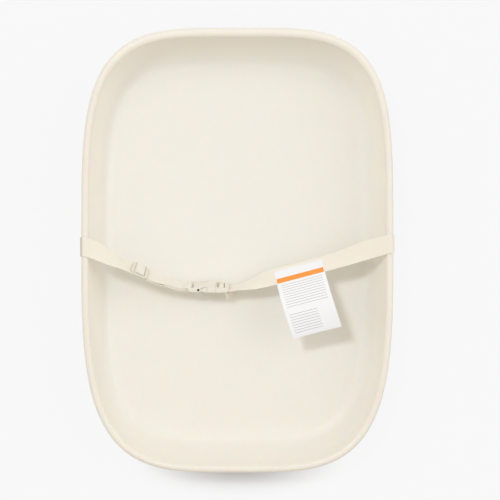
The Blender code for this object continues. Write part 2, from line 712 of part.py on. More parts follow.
def tag_body():
    """The tag in its own frame: a strip sewn flat to the belt, then a free part that droops."""
    y, z = 0, TAG_THICKNESS / 2
    points = [(y, z), (y - TAG_SEWN_LENGTH / 2, z), (y - TAG_SEWN_LENGTH, z)]
    step = TAG_FREE_LENGTH / TAG_BEND_STEPS
    for i in range(TAG_BEND_STEPS):
        turn = math.radians(TAG_DROOP_DEG) * (i + 1 / 2) / TAG_BEND_STEPS
        y, z = points[-1]
        points.append((y - step * math.cos(turn), z - step * math.sin(turn)))
    stations = [(Vector((-y * TAG_SKEW_SHARE, y, z)), Vector((1, 0, 0))) for y, z in points]
    return ribbon(stations, TAG_THICKNESS, TAG_WIDTH)


def build():
    """Makes every piece of the mat."""
    for old in list(bpy.data.objects):
        bpy.data.objects.remove(old, do_unlink=True)

    foam = material("cream skinned foam", (0.90, 0.83, 0.70), 0.55)
    webbing = material("cream webbing", (0.88, 0.81, 0.68), 0.80)
    plastic = material("pale plastic", (0.80, 0.77, 0.67), 0.35)
    white = material("white tag", (0.93, 0.93, 0.93), 0.60)

    body = add_object("foam_body", foam_body(), foam)
    channel = add_object("belt_channel", channel_cutter(), foam)
    combine(body, channel, "DIFFERENCE")

    add_object("belt_back_run", ribbon(back_run_stations()), webbing)
    belt_frame_object = add_frame("belt_swing", Matrix.Translation(SWING_AXIS))
    runs = {"belt_left_run": left_run_stations(), "belt_right_run": right_run_stations()}
    for name, stations in runs.items():
        local = [(middle - SWING_AXIS, across) for middle, across in stations]
        add_object(name, ribbon(local), webbing, belt_frame_object)

    slider_place = distance_at(route_point(-1, SLIDER_PLACE_SHARES)[0])
    slider_frame = add_frame("slider_frame", fitting_matrix(slider_place), belt_frame_object)
    plate, cuts = slider_body()
    slider = add_object("belt_slider", plate, plastic, slider_frame)
    for i, cut in enumerate(cuts):
        combine(slider, add_object(f"slider_cut_{i}", cut, plastic, slider_frame), "DIFFERENCE")

    buckle_frame = add_frame("buckle_frame", fitting_matrix(distance_at(PARTING_X)), belt_frame_object)
    shell, cuts = socket_body()
    socket = add_object("buckle_socket", shell, plastic, buckle_frame)
    for i, cut in enumerate(cuts):
        combine(socket, add_object(f"socket_cut_{i}", cut, plastic, buckle_frame), "DIFFERENCE")

    frame, tongue, cuts = plug_body()
    plug = add_object("buckle_plug", frame, plastic, buckle_frame)
    combine(plug, add_object("plug_tongue", tongue, plastic, buckle_frame), "UNION")
    for i, cut in enumerate(cuts):
        combine(plug, add_object(f"plug_cut_{i}", cut, plastic, buckle_frame), "DIFFERENCE")

    for name, side in (("buckle_arm_head_side", 1), ("buckle_arm_foot_side", -1)):
        points = [(x, side * y) for x, y in arm_outline()]
        bm = prism(points, -ARM_THICKNESS / 2, ARM_THICKNESS / 2)
        bevel_edges(bm, ARM_THICKNESS / 8, 1)
        arm = add_object(name, bm, plastic, buckle_frame)
        arm.location = (0, side * ARM_ROOT_PLACE, 0)

    tag_frame = add_frame("tag_frame", tag_frame_matrix(), belt_frame_object)
    add_object("sewn_tag", tag_body(), white, tag_frame)


build()
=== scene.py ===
# %% [markdown]
# # A foam changing mat and its safety belt
# The mat is one moulding of skinned polyurethane foam: a shallow tray with a rolled rim.
# A belt of cream webbing runs under it, over both side rims and across the tray, where a
# side-release buckle closes it. This file dresses the imported model: every surface that the
# camera sees is made or finished here, and the imported pieces only say where things go.
# The first lines load that model and read its box, from which the mat's sizes are taken.

import math

import bmesh
import bpy
from mathutils import Matrix, Vector, noise


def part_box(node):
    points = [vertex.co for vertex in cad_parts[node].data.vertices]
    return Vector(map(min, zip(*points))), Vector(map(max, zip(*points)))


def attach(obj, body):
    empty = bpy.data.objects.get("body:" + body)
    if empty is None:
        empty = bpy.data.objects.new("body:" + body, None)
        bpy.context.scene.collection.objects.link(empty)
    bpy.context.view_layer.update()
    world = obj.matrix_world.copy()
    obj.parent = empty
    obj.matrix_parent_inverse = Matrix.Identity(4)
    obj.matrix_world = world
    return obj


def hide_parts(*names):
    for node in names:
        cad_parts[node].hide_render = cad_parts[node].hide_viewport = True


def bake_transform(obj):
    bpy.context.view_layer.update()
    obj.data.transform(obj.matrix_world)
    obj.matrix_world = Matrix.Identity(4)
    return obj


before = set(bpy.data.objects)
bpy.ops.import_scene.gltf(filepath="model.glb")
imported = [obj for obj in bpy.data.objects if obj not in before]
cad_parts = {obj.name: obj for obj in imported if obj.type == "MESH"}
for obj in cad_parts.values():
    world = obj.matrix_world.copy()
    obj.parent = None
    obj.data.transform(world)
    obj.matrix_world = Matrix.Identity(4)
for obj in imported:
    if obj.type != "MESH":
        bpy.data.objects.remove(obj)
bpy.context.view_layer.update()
mat_low, mat_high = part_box("foam_body")
print("mat:", [round(v, 4) for v in mat_high - mat_low])

# %% [markdown]
# ## The camera
# The photograph looks straight down on the tray, from far away, so that the walls hardly
# converge. A real camera at three metres with a long lens gives that; an orthographic camera
# would lose the little of the walls that does show. The lens follows from how much of the
# mat's plane one side of the square picture spans.

# %% Place the camera
RIM_HEIGHT = mat_high.z
CAMERA_DISTANCE = 3.0
VIEW_WIDTH = 0.7835
VIEW_CENTRE = (0.0199, 0.0009)

camera_data = bpy.data.cameras.new("camera")
camera_data.lens = camera_data.sensor_width * CAMERA_DISTANCE / VIEW_WIDTH
camera = bpy.data.objects.new("camera", camera_data)
camera.location = (*VIEW_CENTRE, RIM_HEIGHT + CAMERA_DISTANCE)
bpy.context.scene.collection.objects.link(camera)
bpy.context.scene.camera = camera
print("lens:", round(camera_data.lens, 1), "mm")

# %% [markdown]
# ## Helpers for shapes
# A few small helpers are used by every piece: one eases a number between two ends, one blends
# two values, and two turn a bmesh into a smooth-shaded object that wears a material.

# %% Shape helpers
SHARP_ANGLE = math.radians(38)


def smooth(share):
    """Eases a share from 0 to 1, and holds it at both ends."""
    held = min(1.0, max(0.0, share))
    return held * held * (3 - 2 * held)


def mix(low, high, share):
    """A value between two others, by a share."""
    return low + (high - low) * share


def shade(mesh):
    """Shades a mesh smooth, except where its faces meet at a sharp angle."""
    mesh.shade_smooth()
    mesh.set_sharp_from_angle(angle=SHARP_ANGLE)


def make_object(name, bm, finish):
    """Turns a bmesh into a shaded object with one material."""
    bmesh.ops.recalc_face_normals(bm, faces=bm.faces)
    mesh = bpy.data.meshes.new(name)
    bm.to_mesh(mesh)
    bm.free()
    mesh.materials.append(finish)
    shade(mesh)
    made = bpy.data.objects.new(name, mesh)
    bpy.context.scene.collection.objects.link(made)
    return made


print("eased halfway:", smooth(0.5))

# %% [markdown]
# ## Helpers for materials
# Each finish is a Principled shader with a few nodes in front of it. A maker's finish is
# seldom even, so most of them mix two near tones with a noise, and raise a fine relief with
# Bump. The helpers start a material, add nodes to it, do sums on sockets, and make the noises,
# tones and reliefs.

# %% Material helpers
WARM_RADIUS = (1.0, 0.55, 0.30)


def start_material(name, colour, roughness=0.5, glow=0.0, glow_depth=0.0, glow_radius=WARM_RADIUS):
    """A material with its node tree and its shader node, and how much light sinks in and how deep."""
    made = bpy.data.materials.new(name)
    made.use_nodes = True
    tree = made.node_tree
    shader = tree.nodes["Principled BSDF"]
    values = {"Base Color": (*colour, 1.0), "Roughness": roughness, "Subsurface Weight": glow,
              "Subsurface Scale": glow_depth, "Subsurface Radius": glow_radius}
    for socket, value in values.items():
        shader.inputs[socket].default_value = value
    return made, tree, shader


def feed(tree, value, socket):
    """Puts a number, a colour or another node's output into a socket."""
    if isinstance(value, bpy.types.NodeSocket):
        tree.links.new(value, socket)
    else:
        socket.default_value = (*value, 1.0) if isinstance(value, tuple) else value


def add_node(tree, kind, inputs=None, **settings):
    """A node with its settings, and with a value or another node's output in each named input."""
    node = tree.nodes.new("ShaderNode" + kind)
    for name, value in settings.items():
        setattr(node, name, value)
    for name, value in (inputs or {}).items():
        feed(tree, value, node.inputs[name])
    return node


def calculate(tree, operation, *values):
    """The output of a Math node."""
    node = add_node(tree, "Math", operation=operation)
    for value, socket in zip(values, node.inputs):
        feed(tree, value, socket)
    return node.outputs[0]


def noise_of(tree, size, detail=2.0):
    """A noise whose features are about the given size in metres."""
    where = add_node(tree, "TexCoord").outputs["Object"]
    return add_node(tree, "TexNoise", {"Vector": where, "Scale": 1 / size, "Detail": detail}).outputs["Fac"]


def attribute_of(tree, name):
    """The number that each vertex carries under a name."""
    return add_node(tree, "Attribute", attribute_name=name).outputs["Fac"]


def blend_colours(tree, share, first, second):
    """A colour between two others, by a share."""
    node = add_node(tree, "Mix", data_type="RGBA")
    feed(tree, share, node.inputs["Factor"])
    colours = [socket for socket in node.inputs if socket.type == "RGBA"]
    for colour, socket in zip((first, second), colours):
        feed(tree, colour, socket)
    return [socket for socket in node.outputs if socket.type == "RGBA"][0]


def add_relief(tree, shader, height, depth, colour=None):
    """Raises the surface by a height from 0 to 1, to a depth in metres, and may colour it too."""
    bump = add_node(tree, "Bump", {"Height": height, "Strength": 1.0, "Distance": depth})
    tree.links.new(bump.outputs["Normal"], shader.inputs["Normal"])
    if colour is not None:
        tree.links.new(colour, shader.inputs["Base Color"])


print("material helpers ready")

# %% [markdown]
# ## The foam's skin
# Skinned foam is smooth and slightly waxy: the skin forms against the mould, with a fine
# orange peel and a few soft cloudy patches where it is a little thicker. A painted colour map
# would be another way; two noises are enough, because nothing on the skin repeats. The lip
# is painted a shade darker and warmer, as painted shade, less so at the head end, and so is
# the foot end, as painted shade that grows towards the foot. The tray's floor is painted a
# shade duller than the walls, also as painted shade. The mesh will say where all this is,
# with two numbers at each vertex that Attribute nodes read.

# %% Foam skin
FOAM_LIGHT = (0.878, 0.858, 0.790)
FOAM_DARK = (0.878, 0.842, 0.766)
# Painted shade: darker and duller low down in the tray
FOAM_TRAY_SHADE = (0.828, 0.812, 0.752)
# Painted shade on the lip and at the foot end: darker and warmer
FOAM_PAINTED_SHADE = (0.812, 0.780, 0.708)
PAINTED_SHADE, TRAY_SHADE = "painted_shade", "tray_shade"
FOAM_GLOW = 0.35
FOAM_GLOW_DEPTH = 0.010
CLOUD_SIZE, GLOSS_CLOUD_SIZE = 0.22, 0.22 / 6
FINE_DETAIL = 3.0
PEEL_SIZE = 0.0016
PEEL_DEPTH = 0.00006
GLOSS_BASE, GLOSS_SPREAD = 0.42, 0.12

foam_skin, tree, shader = start_material("foam_skin", FOAM_LIGHT, glow=FOAM_GLOW, glow_depth=FOAM_GLOW_DEPTH)
skin_colour = blend_colours(tree, noise_of(tree, CLOUD_SIZE, FINE_DETAIL), FOAM_LIGHT, FOAM_DARK)
# Both tones are painted shade: the tray's floor is duller, and the lip and the foot end are darker
for attribute, tone in ((TRAY_SHADE, FOAM_TRAY_SHADE), (PAINTED_SHADE, FOAM_PAINTED_SHADE)):
    skin_colour = blend_colours(tree, attribute_of(tree, attribute), skin_colour, tone)
gloss = calculate(tree, "MULTIPLY_ADD", noise_of(tree, GLOSS_CLOUD_SIZE), GLOSS_SPREAD, GLOSS_BASE)
tree.links.new(gloss, shader.inputs["Roughness"])
add_relief(tree, shader, noise_of(tree, PEEL_SIZE, FINE_DETAIL), PEEL_DEPTH, skin_colour)
print("foam skin has", len(tree.nodes), "nodes")

# %% [markdown]
# ## The mat's outline
# Seen from above the mat is a soft rectangle, fuller than an ellipse. A superellipse gives such
# a shape with one number for how square it is. The head end is a little squarer than the foot
# end, and hand-trimmed foam is never quite even, so three numbers serve the four corners. The
# points are spread evenly along the curve, because equal angles would crowd them at the corners.
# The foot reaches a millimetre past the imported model's, as it does in the photograph.

# %% Outline of the mat
HALF_WIDTH = (mat_high.x - mat_low.x) / 2
MAT_LENGTH = mat_high.y - mat_low.y
WIDEST_SHARE = 0.523
FOOT_HALF = MAT_LENGTH * WIDEST_SHARE
HEAD_HALF = MAT_LENGTH - FOOT_HALF
WIDEST_Y = mat_low.y + FOOT_HALF
HEAD_RIGHT_SQUARENESS, HEAD_LEFT_SQUARENESS = 4.05, 3.88
FOOT_SQUARENESS = 3.76
FOOT_REACH = 0.0012
QUARTER_STEPS = 52
FINE_STEPS = 2000


def quarter(half_length, squareness):
    """Evenly spaced points and outward normals of a quarter of the outline."""
    points = []
    for i in range(FINE_STEPS + 1):
        angle = math.pi / 2 * i / FINE_STEPS
        x = HALF_WIDTH * math.cos(angle) ** (2 / squareness) if i < FINE_STEPS else 0.0
        points.append(Vector((x, half_length * math.sin(angle) ** (2 / squareness))))
    lengths = [0.0]
    for first, second in zip(points, points[1:]):
        lengths.append(lengths[-1] + (second - first).length)
    chosen = []
    k = 0
    for step in range(QUARTER_STEPS + 1):
        wanted = lengths[-1] * step / QUARTER_STEPS
        while k < FINE_STEPS - 1 and lengths[k + 1] < wanted:
            k += 1
        point = points[k].lerp(points[k + 1], (wanted - lengths[k]) / (lengths[k + 1] - lengths[k]))
        slope_x = (point.x / HALF_WIDTH) ** (squareness - 1) / HALF_WIDTH
        slope_y = (point.y / half_length) ** (squareness - 1) / half_length
        chosen.append((point, Vector((slope_x, slope_y)).normalized()))
    return chosen


def mat_outline():
    """The whole outline with its normals, anticlockwise from the right side."""
    head_right = quarter(HEAD_HALF, HEAD_RIGHT_SQUARENESS)
    head_left = quarter(HEAD_HALF, HEAD_LEFT_SQUARENESS)
    foot = quarter(FOOT_HALF + FOOT_REACH, FOOT_SQUARENESS)
    ring = []
    corners = ((head_right, 1, 1), (head_left[::-1], -1, 1), (foot, -1, -1), (foot[::-1], 1, -1))
    for rows, sign_x, sign_y in corners:
        for point, normal in rows[:-1]:
            place = Vector((sign_x * point.x, sign_y * point.y + WIDEST_Y))
            ring.append((place, Vector((sign_x * normal.x, sign_y * normal.y))))
    return ring


outline = mat_outline()
print("outline points:", len(outline))

# %% [markdown]
# ## The wall's section
# The wall is thin at the top, where it rolls over into the tray, and thick at the base. Its
# section is written as a few points: shares of the base's inset and of the height outside, an
# arc over the lip, and shares of the wall's run inside. A Catmull-Rom curve through them gives
# the soft moulded shape; a Bezier curve would do it too, but its handles are harder to name.
# The rim falls towards the foot end, where the lip's arc stops early and the wall slopes more
# gently, so the lip hardly stands out there. The head end has the widest wall and lip.

# %% Section of the wall
LIP_WIDTH = 0.0125
HEAD_LIP_WIDTH = 0.0155
LIP_CROWN = 0.007
FOOT_RIM_HEIGHT = 0.072
SIDE_WALL_RUN, HEAD_WALL_RUN, FOOT_WALL_RUN = 0.036, 0.057, 0.044
FLOOR_THICKNESS = 0.026
FLOOR_DISH = 0.0025
BASE_INSET = 0.038
RIM_FALL_SHARES = (0.18, 1.0)
OUTER_WALL_SHARES = ((1.0, 0.0), (0.86, 0.018), (0.72, 0.07), (0.45, 0.30), (0.22, 0.56), (0.06, 0.80))
INNER_WALL_SHARES = ((0.10, 0.76), (0.24, 0.50), (0.42, 0.26), (0.66, 0.08), (1.0, 0.0))
FOOT_WALL_SHARES = ((0.12, 0.83), (0.28, 0.60), (0.47, 0.35), (0.70, 0.13), (1.0, 0.0))
LIP_STEPS = 6
FOOT_LIP_CUT = 0.28
CURVE_STEPS = 5


def curve_through(points, steps):
    """A Catmull-Rom curve through points of any kind, with so many steps between each two."""
    made = []
    for i in range(len(points) - 1):
        before, here = points[max(i - 1, 0)], points[i]
        ahead, beyond = points[i + 1], points[min(i + 2, len(points) - 1)]
        for k in range(steps):
            t = k / steps
            made.append(
                ((here * 2) + (ahead - before) * t + (before * 2 - here * 5 + ahead * 4 - beyond) * t ** 2
                 + (here * 3 - before - ahead * 3 + beyond) * t ** 3) * 0.5
            )
    return made + [points[-1]]


def rim_height(y):
    """Height of the rim, which falls towards the foot end."""
    start, end = RIM_FALL_SHARES
    share = ((WIDEST_Y - y) / FOOT_HALF - start) / (end - start)
    return mix(RIM_HEIGHT, FOOT_RIM_HEIGHT, smooth(share))


def wall_run(normal):
    """How far the inner wall reaches in from the lip."""
    end_run = HEAD_WALL_RUN if normal.y > 0 else FOOT_WALL_RUN
    return mix(SIDE_WALL_RUN, end_run, smooth(abs(normal.y)))


def wall_section(height, run, facing=0.0):
    """The wall from the base's edge over the lip to the floor, as vectors of (inset, z).

    The wall faces the head end at 1, the foot end at -1 and a side at 0.
    """
    shoulder = height - LIP_CROWN
    foot_share = smooth(-facing)
    lip_width = mix(LIP_WIDTH, HEAD_LIP_WIDTH, smooth(facing))
    rows = [Vector((BASE_INSET * inset, height * up)) for inset, up in OUTER_WALL_SHARES]
    for i in range(LIP_STEPS + 1):
        turn = math.pi * i / LIP_STEPS * (1 - FOOT_LIP_CUT * foot_share)
        rows.append(Vector((lip_width / 2 * (1 - math.cos(turn)), shoulder + LIP_CROWN * math.sin(turn))))
    for side_place, foot_place in zip(INNER_WALL_SHARES, FOOT_WALL_SHARES):
        inward, up = Vector(side_place).lerp(Vector(foot_place), foot_share)
        rows.append(Vector((lip_width + run * inward, mix(FLOOR_THICKNESS, shoulder, up))))
    return curve_through(rows, CURVE_STEPS)


print("section points:", len(wall_section(RIM_HEIGHT, SIDE_WALL_RUN)))

# %% [markdown]
# ## The moulding
# Rings of points follow the section all the way round, and more rings close the floor and the
# base. Foam shrinks a little as it cures, so a slow noise makes the floor and the inner wall
# uneven by less than half a millimetre, which is what breaks up the light on the real thing.
# Each vertex also gets the two numbers of painted shade that the skin's tones ask for. The
# belt's channel under the mat is cut with a Boolean, round the two bridges that hold the
# webbing. The modifier is applied at once, so that the mesh is final.

# %% Mould the mat
FLOOR_RING_COUNT = 16
BASE_RING_SHARES = (0.97, 0.6)
UNEVEN_HEIGHT = 0.0005
UNEVEN_SIZE = 0.085
# Painted shade: the lip's band, how much of it the head end keeps, and how much the foot end gets and where
PAINTED_SHADE_STEPS = 18
HEAD_END_PAINTED_SHADE = 0.6
FOOT_PAINTED_SHADE = 0.78
FOOT_PAINTED_SHADE_START_Y, FOOT_PAINTED_SHADE_END_Y = -0.05, -0.33
# The tray's painted shade fades out over this height above its floor
TRAY_SHADE_HEIGHT = 0.030
CHANNEL_DEPTH = 0.0095
CHANNEL_WIDTH = 0.036
CHANNEL_Y = 0.00825
BRIDGE_THICKNESS = 0.0056
BRIDGE_LENGTH = 0.030
BRIDGE_PLACE_SHARE = 0.53
CUT_OVERRUN = 0.002


def uneven(point):
    """A slow unevenness that depends on the place alone."""
    return UNEVEN_HEIGHT * noise.noise(Vector((point.x, point.y, 0)) / UNEVEN_SIZE)


def add_ring_faces(bm, low, high):
    """Faces between two closed rings of as many vertices each."""
    for i in range(len(low)):
        j = (i + 1) % len(low)
        bm.faces.new((low[i], low[j], high[j], high[i]))


def mould_mat():
    """The mat as one closed mesh, before its channel is cut."""
    bm = bmesh.new()
    columns = []
    for point, normal in outline:
        section = wall_section(rim_height(point.y), wall_run(normal), normal.y)
        columns.append([Vector((*(point - normal * row.x), row.y)) for row in section])
    lip_end = (len(OUTER_WALL_SHARES) + LIP_STEPS) * CURVE_STEPS
    crest = lip_end - LIP_STEPS * CURVE_STEPS // 2
    tray_shade_layer = bm.verts.layers.float.new(TRAY_SHADE)
    painted_shade_layer = bm.verts.layers.float.new(PAINTED_SHADE)
    rings = []
    for k in range(len(columns[0])):
        ease = smooth((k - lip_end) / CURVE_STEPS)
        lift = Vector((0, 0, 1))
        rings.append([bm.verts.new(column[k] + lift * uneven(column[k]) * ease) for column in columns])
        # Painted shade on the lip, weaker at the head end
        for vert, (_, normal) in zip(rings[-1], outline):
            painted_shade_here = mix(1.0, HEAD_END_PAINTED_SHADE, smooth(normal.y))
            vert[painted_shade_layer] = painted_shade_here * smooth(2 - 2 * abs(k - crest) / PAINTED_SHADE_STEPS)
    edge = [column[-1] for column in columns]
    centre = sum(edge, Vector()) / len(edge)
    for k in range(1, FLOOR_RING_COUNT):
        share = 1 - k / FLOOR_RING_COUNT
        sink = FLOOR_THICKNESS - FLOOR_DISH * (1 - share ** 2)
        ring = []
        for corner in edge:
            place = centre.lerp(corner, share)
            ring.append(bm.verts.new((place.x, place.y, sink + uneven(place))))
        rings.append(ring)
    for low, high in zip(rings, rings[1:]):
        add_ring_faces(bm, low, high)
    middle = bm.verts.new((centre.x, centre.y, FLOOR_THICKNESS - FLOOR_DISH + uneven(centre)))
    # Painted shade, darker towards the tray's floor
    for vert in sum(rings[lip_end:], [middle]):
        vert[tray_shade_layer] = 1 - smooth((vert.co.z - FLOOR_THICKNESS) / TRAY_SHADE_HEIGHT)
    for first, second in zip(rings[-1], rings[-1][1:] + rings[-1][:1]):
        bm.faces.new((first, second, middle))
    bottom = rings[0]
    for share in BASE_RING_SHARES:
        inner = [bm.verts.new(centre.lerp(v.co, share).xy.to_3d()) for v in rings[0]]
        add_ring_faces(bm, inner, bottom)
        bottom = inner
    bm.faces.new(bottom)
    # Painted shade that grows towards the foot end
    for vert in bm.verts:
        share = (vert.co.y - FOOT_PAINTED_SHADE_START_Y) / (FOOT_PAINTED_SHADE_END_Y - FOOT_PAINTED_SHADE_START_Y)
        foot_painted_shade = FOOT_PAINTED_SHADE * smooth(share)
        vert[painted_shade_layer] = max(vert[painted_shade_layer], foot_painted_shade)
    return bm


def channel_cutter():
    """The space that the belt runs through, with a step down at each bridge."""
    reach = HALF_WIDTH + CUT_OVERRUN
    place = HALF_WIDTH * BRIDGE_PLACE_SHARE
    inner, outer = place - BRIDGE_LENGTH / 2, place + BRIDGE_LENGTH / 2
    half = [(inner, -CUT_OVERRUN), (inner, BRIDGE_THICKNESS), (outer, BRIDGE_THICKNESS),
            (outer, -CUT_OVERRUN), (reach, -CUT_OVERRUN), (reach, CHANNEL_DEPTH)]
    section = half + [(-x, z) for x, z in reversed(half)]
    bm = bmesh.new()
    sides = []
    for side in (-1, 1):
        sides.append([bm.verts.new((x, CHANNEL_Y + side * CHANNEL_WIDTH / 2, z)) for x, z in section])
        bm.faces.new(sides[-1])
    add_ring_faces(bm, *sides)
    return bm


def add_holes(piece, cuts):
    """Has some bmeshes cut out of a piece with Booleans, and gives the helper objects for that."""
    helpers = []
    for cut in cuts:
        helpers.append(make_object(piece.name + "_cut", cut, piece.data.materials[0]))
        step = piece.modifiers.new("hole", "BOOLEAN")
        step.operation = "DIFFERENCE"
        step.solver = "EXACT"
        step.object = helpers[-1]
    return helpers


def apply_modifiers(piece, helpers):
    """Replaces a piece's mesh by what its modifiers make of it, and removes their helpers."""
    graph = bpy.context.evaluated_depsgraph_get()
    mesh = bpy.data.meshes.new_from_object(piece.evaluated_get(graph))
    piece.modifiers.clear()
    piece.data = mesh
    for helper in helpers:
        bpy.data.objects.remove(helper)


mat_body = make_object("mat_body", mould_mat(), foam_skin)
apply_modifiers(mat_body, add_holes(mat_body, [channel_cutter()]))
shade(mat_body.data)

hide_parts("foam_body")
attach(mat_body, "mat")
print("mat faces:", len(mat_body.data.polygons))

# %% [markdown]
# ## Webbing
# The belt is woven polyester webbing, 30 mm wide. Up close it has chevrons: short diagonal ribs
# that turn back every few millimetres, and a firm selvedge on both edges. The strip will carry
# a UV map in real metres, along and across, so the weave can be worked out from two numbers:
# a sine of the distance along, shifted by how far across, and folded back with Ping-Pong.
# Where the webbing goes down the outside of the left rim it is painted darker, as painted
# shade; a number at each vertex says how much, as for the foam's lip.

# %% Webbing material
WEBBING_LIGHT = (0.945, 0.898, 0.806)
WEBBING_DARK = (0.880, 0.800, 0.680)
# Painted shade on the outside of the left rim's wrap
WEBBING_WRAP_SHADE = (0.640, 0.600, 0.530)
WEBBING_ROUGHNESS = 0.85
SHEEN_WEIGHT, SHEEN_ROUGHNESS = 0.25, 0.45
WEBBING_GLOW = 0.3
WEBBING_GLOW_DEPTH = 0.001
WEBBING_GLOW_RADIUS = (1.0, 0.9, 0.8)
RIB_PITCH = 0.0013
CHEVRON_WIDTH = 0.0042
RIB_DEPTH = 0.00022
RIB_SHADE = 0.45
YARN_SHARE = 0.4
WEBBING_UV = "webbing_metres"
WRAP_SHADE = "wrap_shade"


def metres_of(tree, layer):
    """The two numbers of a UV map, as sockets."""
    where = add_node(tree, "UVMap", uv_map=layer).outputs["UV"]
    return add_node(tree, "SeparateXYZ", {"Vector": where}).outputs[:2]


webbing_cloth, tree, shader = start_material("webbing_cloth", WEBBING_LIGHT, WEBBING_ROUGHNESS,
                                             WEBBING_GLOW, WEBBING_GLOW_DEPTH, WEBBING_GLOW_RADIUS)
shader.inputs["Sheen Weight"].default_value = SHEEN_WEIGHT
shader.inputs["Sheen Roughness"].default_value = SHEEN_ROUGHNESS
along, across = metres_of(tree, WEBBING_UV)
folded = calculate(tree, "PINGPONG", across, CHEVRON_WIDTH)
slanted = calculate(tree, "ADD", along, folded)
wave = calculate(tree, "SINE", calculate(tree, "MULTIPLY", slanted, 2 * math.pi / RIB_PITCH))
ribs = calculate(tree, "MULTIPLY_ADD", wave, 0.5, 0.5)
height = calculate(tree, "MULTIPLY_ADD", noise_of(tree, RIB_PITCH / 2), YARN_SHARE, ribs)
# Painted shade: the valleys between the ribs are coloured darker
shade_share = calculate(tree, "MULTIPLY", calculate(tree, "SUBTRACT", 1.0, ribs), RIB_SHADE)
cloth_colour = blend_colours(tree, shade_share, WEBBING_LIGHT, WEBBING_DARK)
# Painted shade on the outside of the left rim's wrap
cloth_colour = blend_colours(tree, attribute_of(tree, WRAP_SHADE), cloth_colour, WEBBING_WRAP_SHADE)
add_relief(tree, shader, height, RIB_DEPTH, cloth_colour)
print("webbing has", len(tree.nodes), "nodes")

# %% [markdown]
# ## The belt's route
# The slack belt hangs in a shallow curve from rim to rim. Its middle line is a list of places,
# each with the angle at which the webbing leans, and a smooth curve runs through them. The
# webbing lies flat on the rims and stands nearly on edge at the buckle, so it twists by about
# seventy degrees on the way. Everything on the belt is then placed by its distance along it.

# %% Belt route
WEBBING_WIDTH = 0.030
WEBBING_THICKNESS = 0.0013
FIT_GAP = 0.0004
WEB_OFFSET = FIT_GAP + WEBBING_THICKNESS / 2
ROUTE_SAMPLES = 800
# Places of the belt's middle line, x, y and z in metres, and its lean in degrees
BELT_PLACES = (
    (-0.23875, 0.00600, 0.09605, 0.0),
    (-0.22190, -0.00036, 0.09173, 14.1),
    (-0.20490, -0.00939, 0.08692, 34.0),
    (-0.17692, -0.02326, 0.07863, 59.9),
    (-0.17292, -0.02494, 0.07739, 59.9),
    (-0.13642, -0.04027, 0.06608, 59.9),
    (-0.13242, -0.04195, 0.06484, 59.9),
    (-0.10943, -0.04978, 0.05761, 68.1),
    (-0.08630, -0.05760, 0.04800, 74.0),
    (-0.08230, -0.05760, 0.04800, 74.0),
    (-0.00800, -0.05760, 0.04800, 74.0),
    (-0.00400, -0.05760, 0.04800, 74.0),
    (0.01859, -0.05420, 0.05184, 59.9),
    (0.04958, -0.04425, 0.05721, 33.3),
    (0.05358, -0.04318, 0.05781, 33.3),
    (0.14058, -0.01986, 0.07086, 33.3),
    (0.14458, -0.01879, 0.07146, 33.3),
    (0.20490, 0.00097, 0.08644, 8.1),
    (0.22195, 0.00601, 0.09149, 3.0),
    (0.23875, 0.01050, 0.09605, 0.0),
)


def sample_route(places):
    """A smooth curve through the places, evenly spaced in x."""
    slopes = []
    for i, here in enumerate(places):
        before, after = places[max(i - 1, 0)], places[min(i + 1, len(places) - 1)]
        if 0 < i < len(places) - 1:
            back = (here - before) / (here[0] - before[0])
            ahead = (after - here) / (after[0] - here[0])
            weight = (here[0] - before[0]) / (after[0] - before[0])
            slopes.append(ahead * weight + back * (1 - weight))
        else:
            slopes.append((after - before) / (after[0] - before[0]))
    samples = []
    k = 0
    for i in range(ROUTE_SAMPLES + 1):
        x = mix(places[0][0], places[-1][0], i / ROUTE_SAMPLES)
        while k < len(places) - 2 and places[k + 1][0] < x:
            k += 1
        step = places[k + 1][0] - places[k][0]
        t = (x - places[k][0]) / step
        samples.append(
            places[k] * (2 * t ** 3 - 3 * t ** 2 + 1) + slopes[k] * (step * (t ** 3 - 2 * t ** 2 + t))
            + places[k + 1] * (3 * t ** 2 - 2 * t ** 3) + slopes[k + 1] * (step * (t ** 3 - t ** 2))
        )
    return samples


SAMPLES = sample_route([Vector(place) for place in BELT_PLACES])
DISTANCES = [0.0]
for first_sample, second_sample in zip(SAMPLES, SAMPLES[1:]):
    DISTANCES.append(DISTANCES[-1] + (second_sample.xyz - first_sample.xyz).length)
BELT_LENGTH = DISTANCES[-1]


def distance_at(x):
    """How far along the belt a given x lies."""
    place = (x - SAMPLES[0][0]) / (SAMPLES[-1][0] - SAMPLES[0][0]) * ROUTE_SAMPLES
    k = min(ROUTE_SAMPLES - 1, max(0, int(place)))
    return mix(DISTANCES[k], DISTANCES[k + 1], place - k)


def belt_frame(distance):
    """Middle, direction along, direction across and front normal of the belt."""
    k = 0
    while k < ROUTE_SAMPLES - 1 and DISTANCES[k + 1] <= distance:
        k += 1
    share = (distance - DISTANCES[k]) / (DISTANCES[k + 1] - DISTANCES[k])
    here = SAMPLES[k].lerp(SAMPLES[k + 1], share)
    lean = math.radians(here[3])
    low, high = SAMPLES[max(k - 1, 0)], SAMPLES[min(k + 2, ROUTE_SAMPLES)]
    direction = (high.xyz - low.xyz).normalized()
    width = Vector((0, -math.cos(lean), math.sin(lean)))
    width = (width - direction * width.dot(direction)).normalized()
    return here.xyz, direction, width, width.cross(direction)


print("belt over the tray:", round(BELT_LENGTH, 4), "m")

# %% [markdown]
# ## A strip of webbing
# Each run of webbing is a strip swept along stations. A station has a middle and a direction
# across. The distance along, which the UV map shows, is added up on the way. The strip's
# section has rounded edges and is a hair thicker at the selvedges. A curve object with a bevel
# would give the section, but it can't be turned about its line as exactly as the stations can.

# %% Strip of webbing
STRIP_STEP = 0.0016
ROUTE_STEP = 0.004
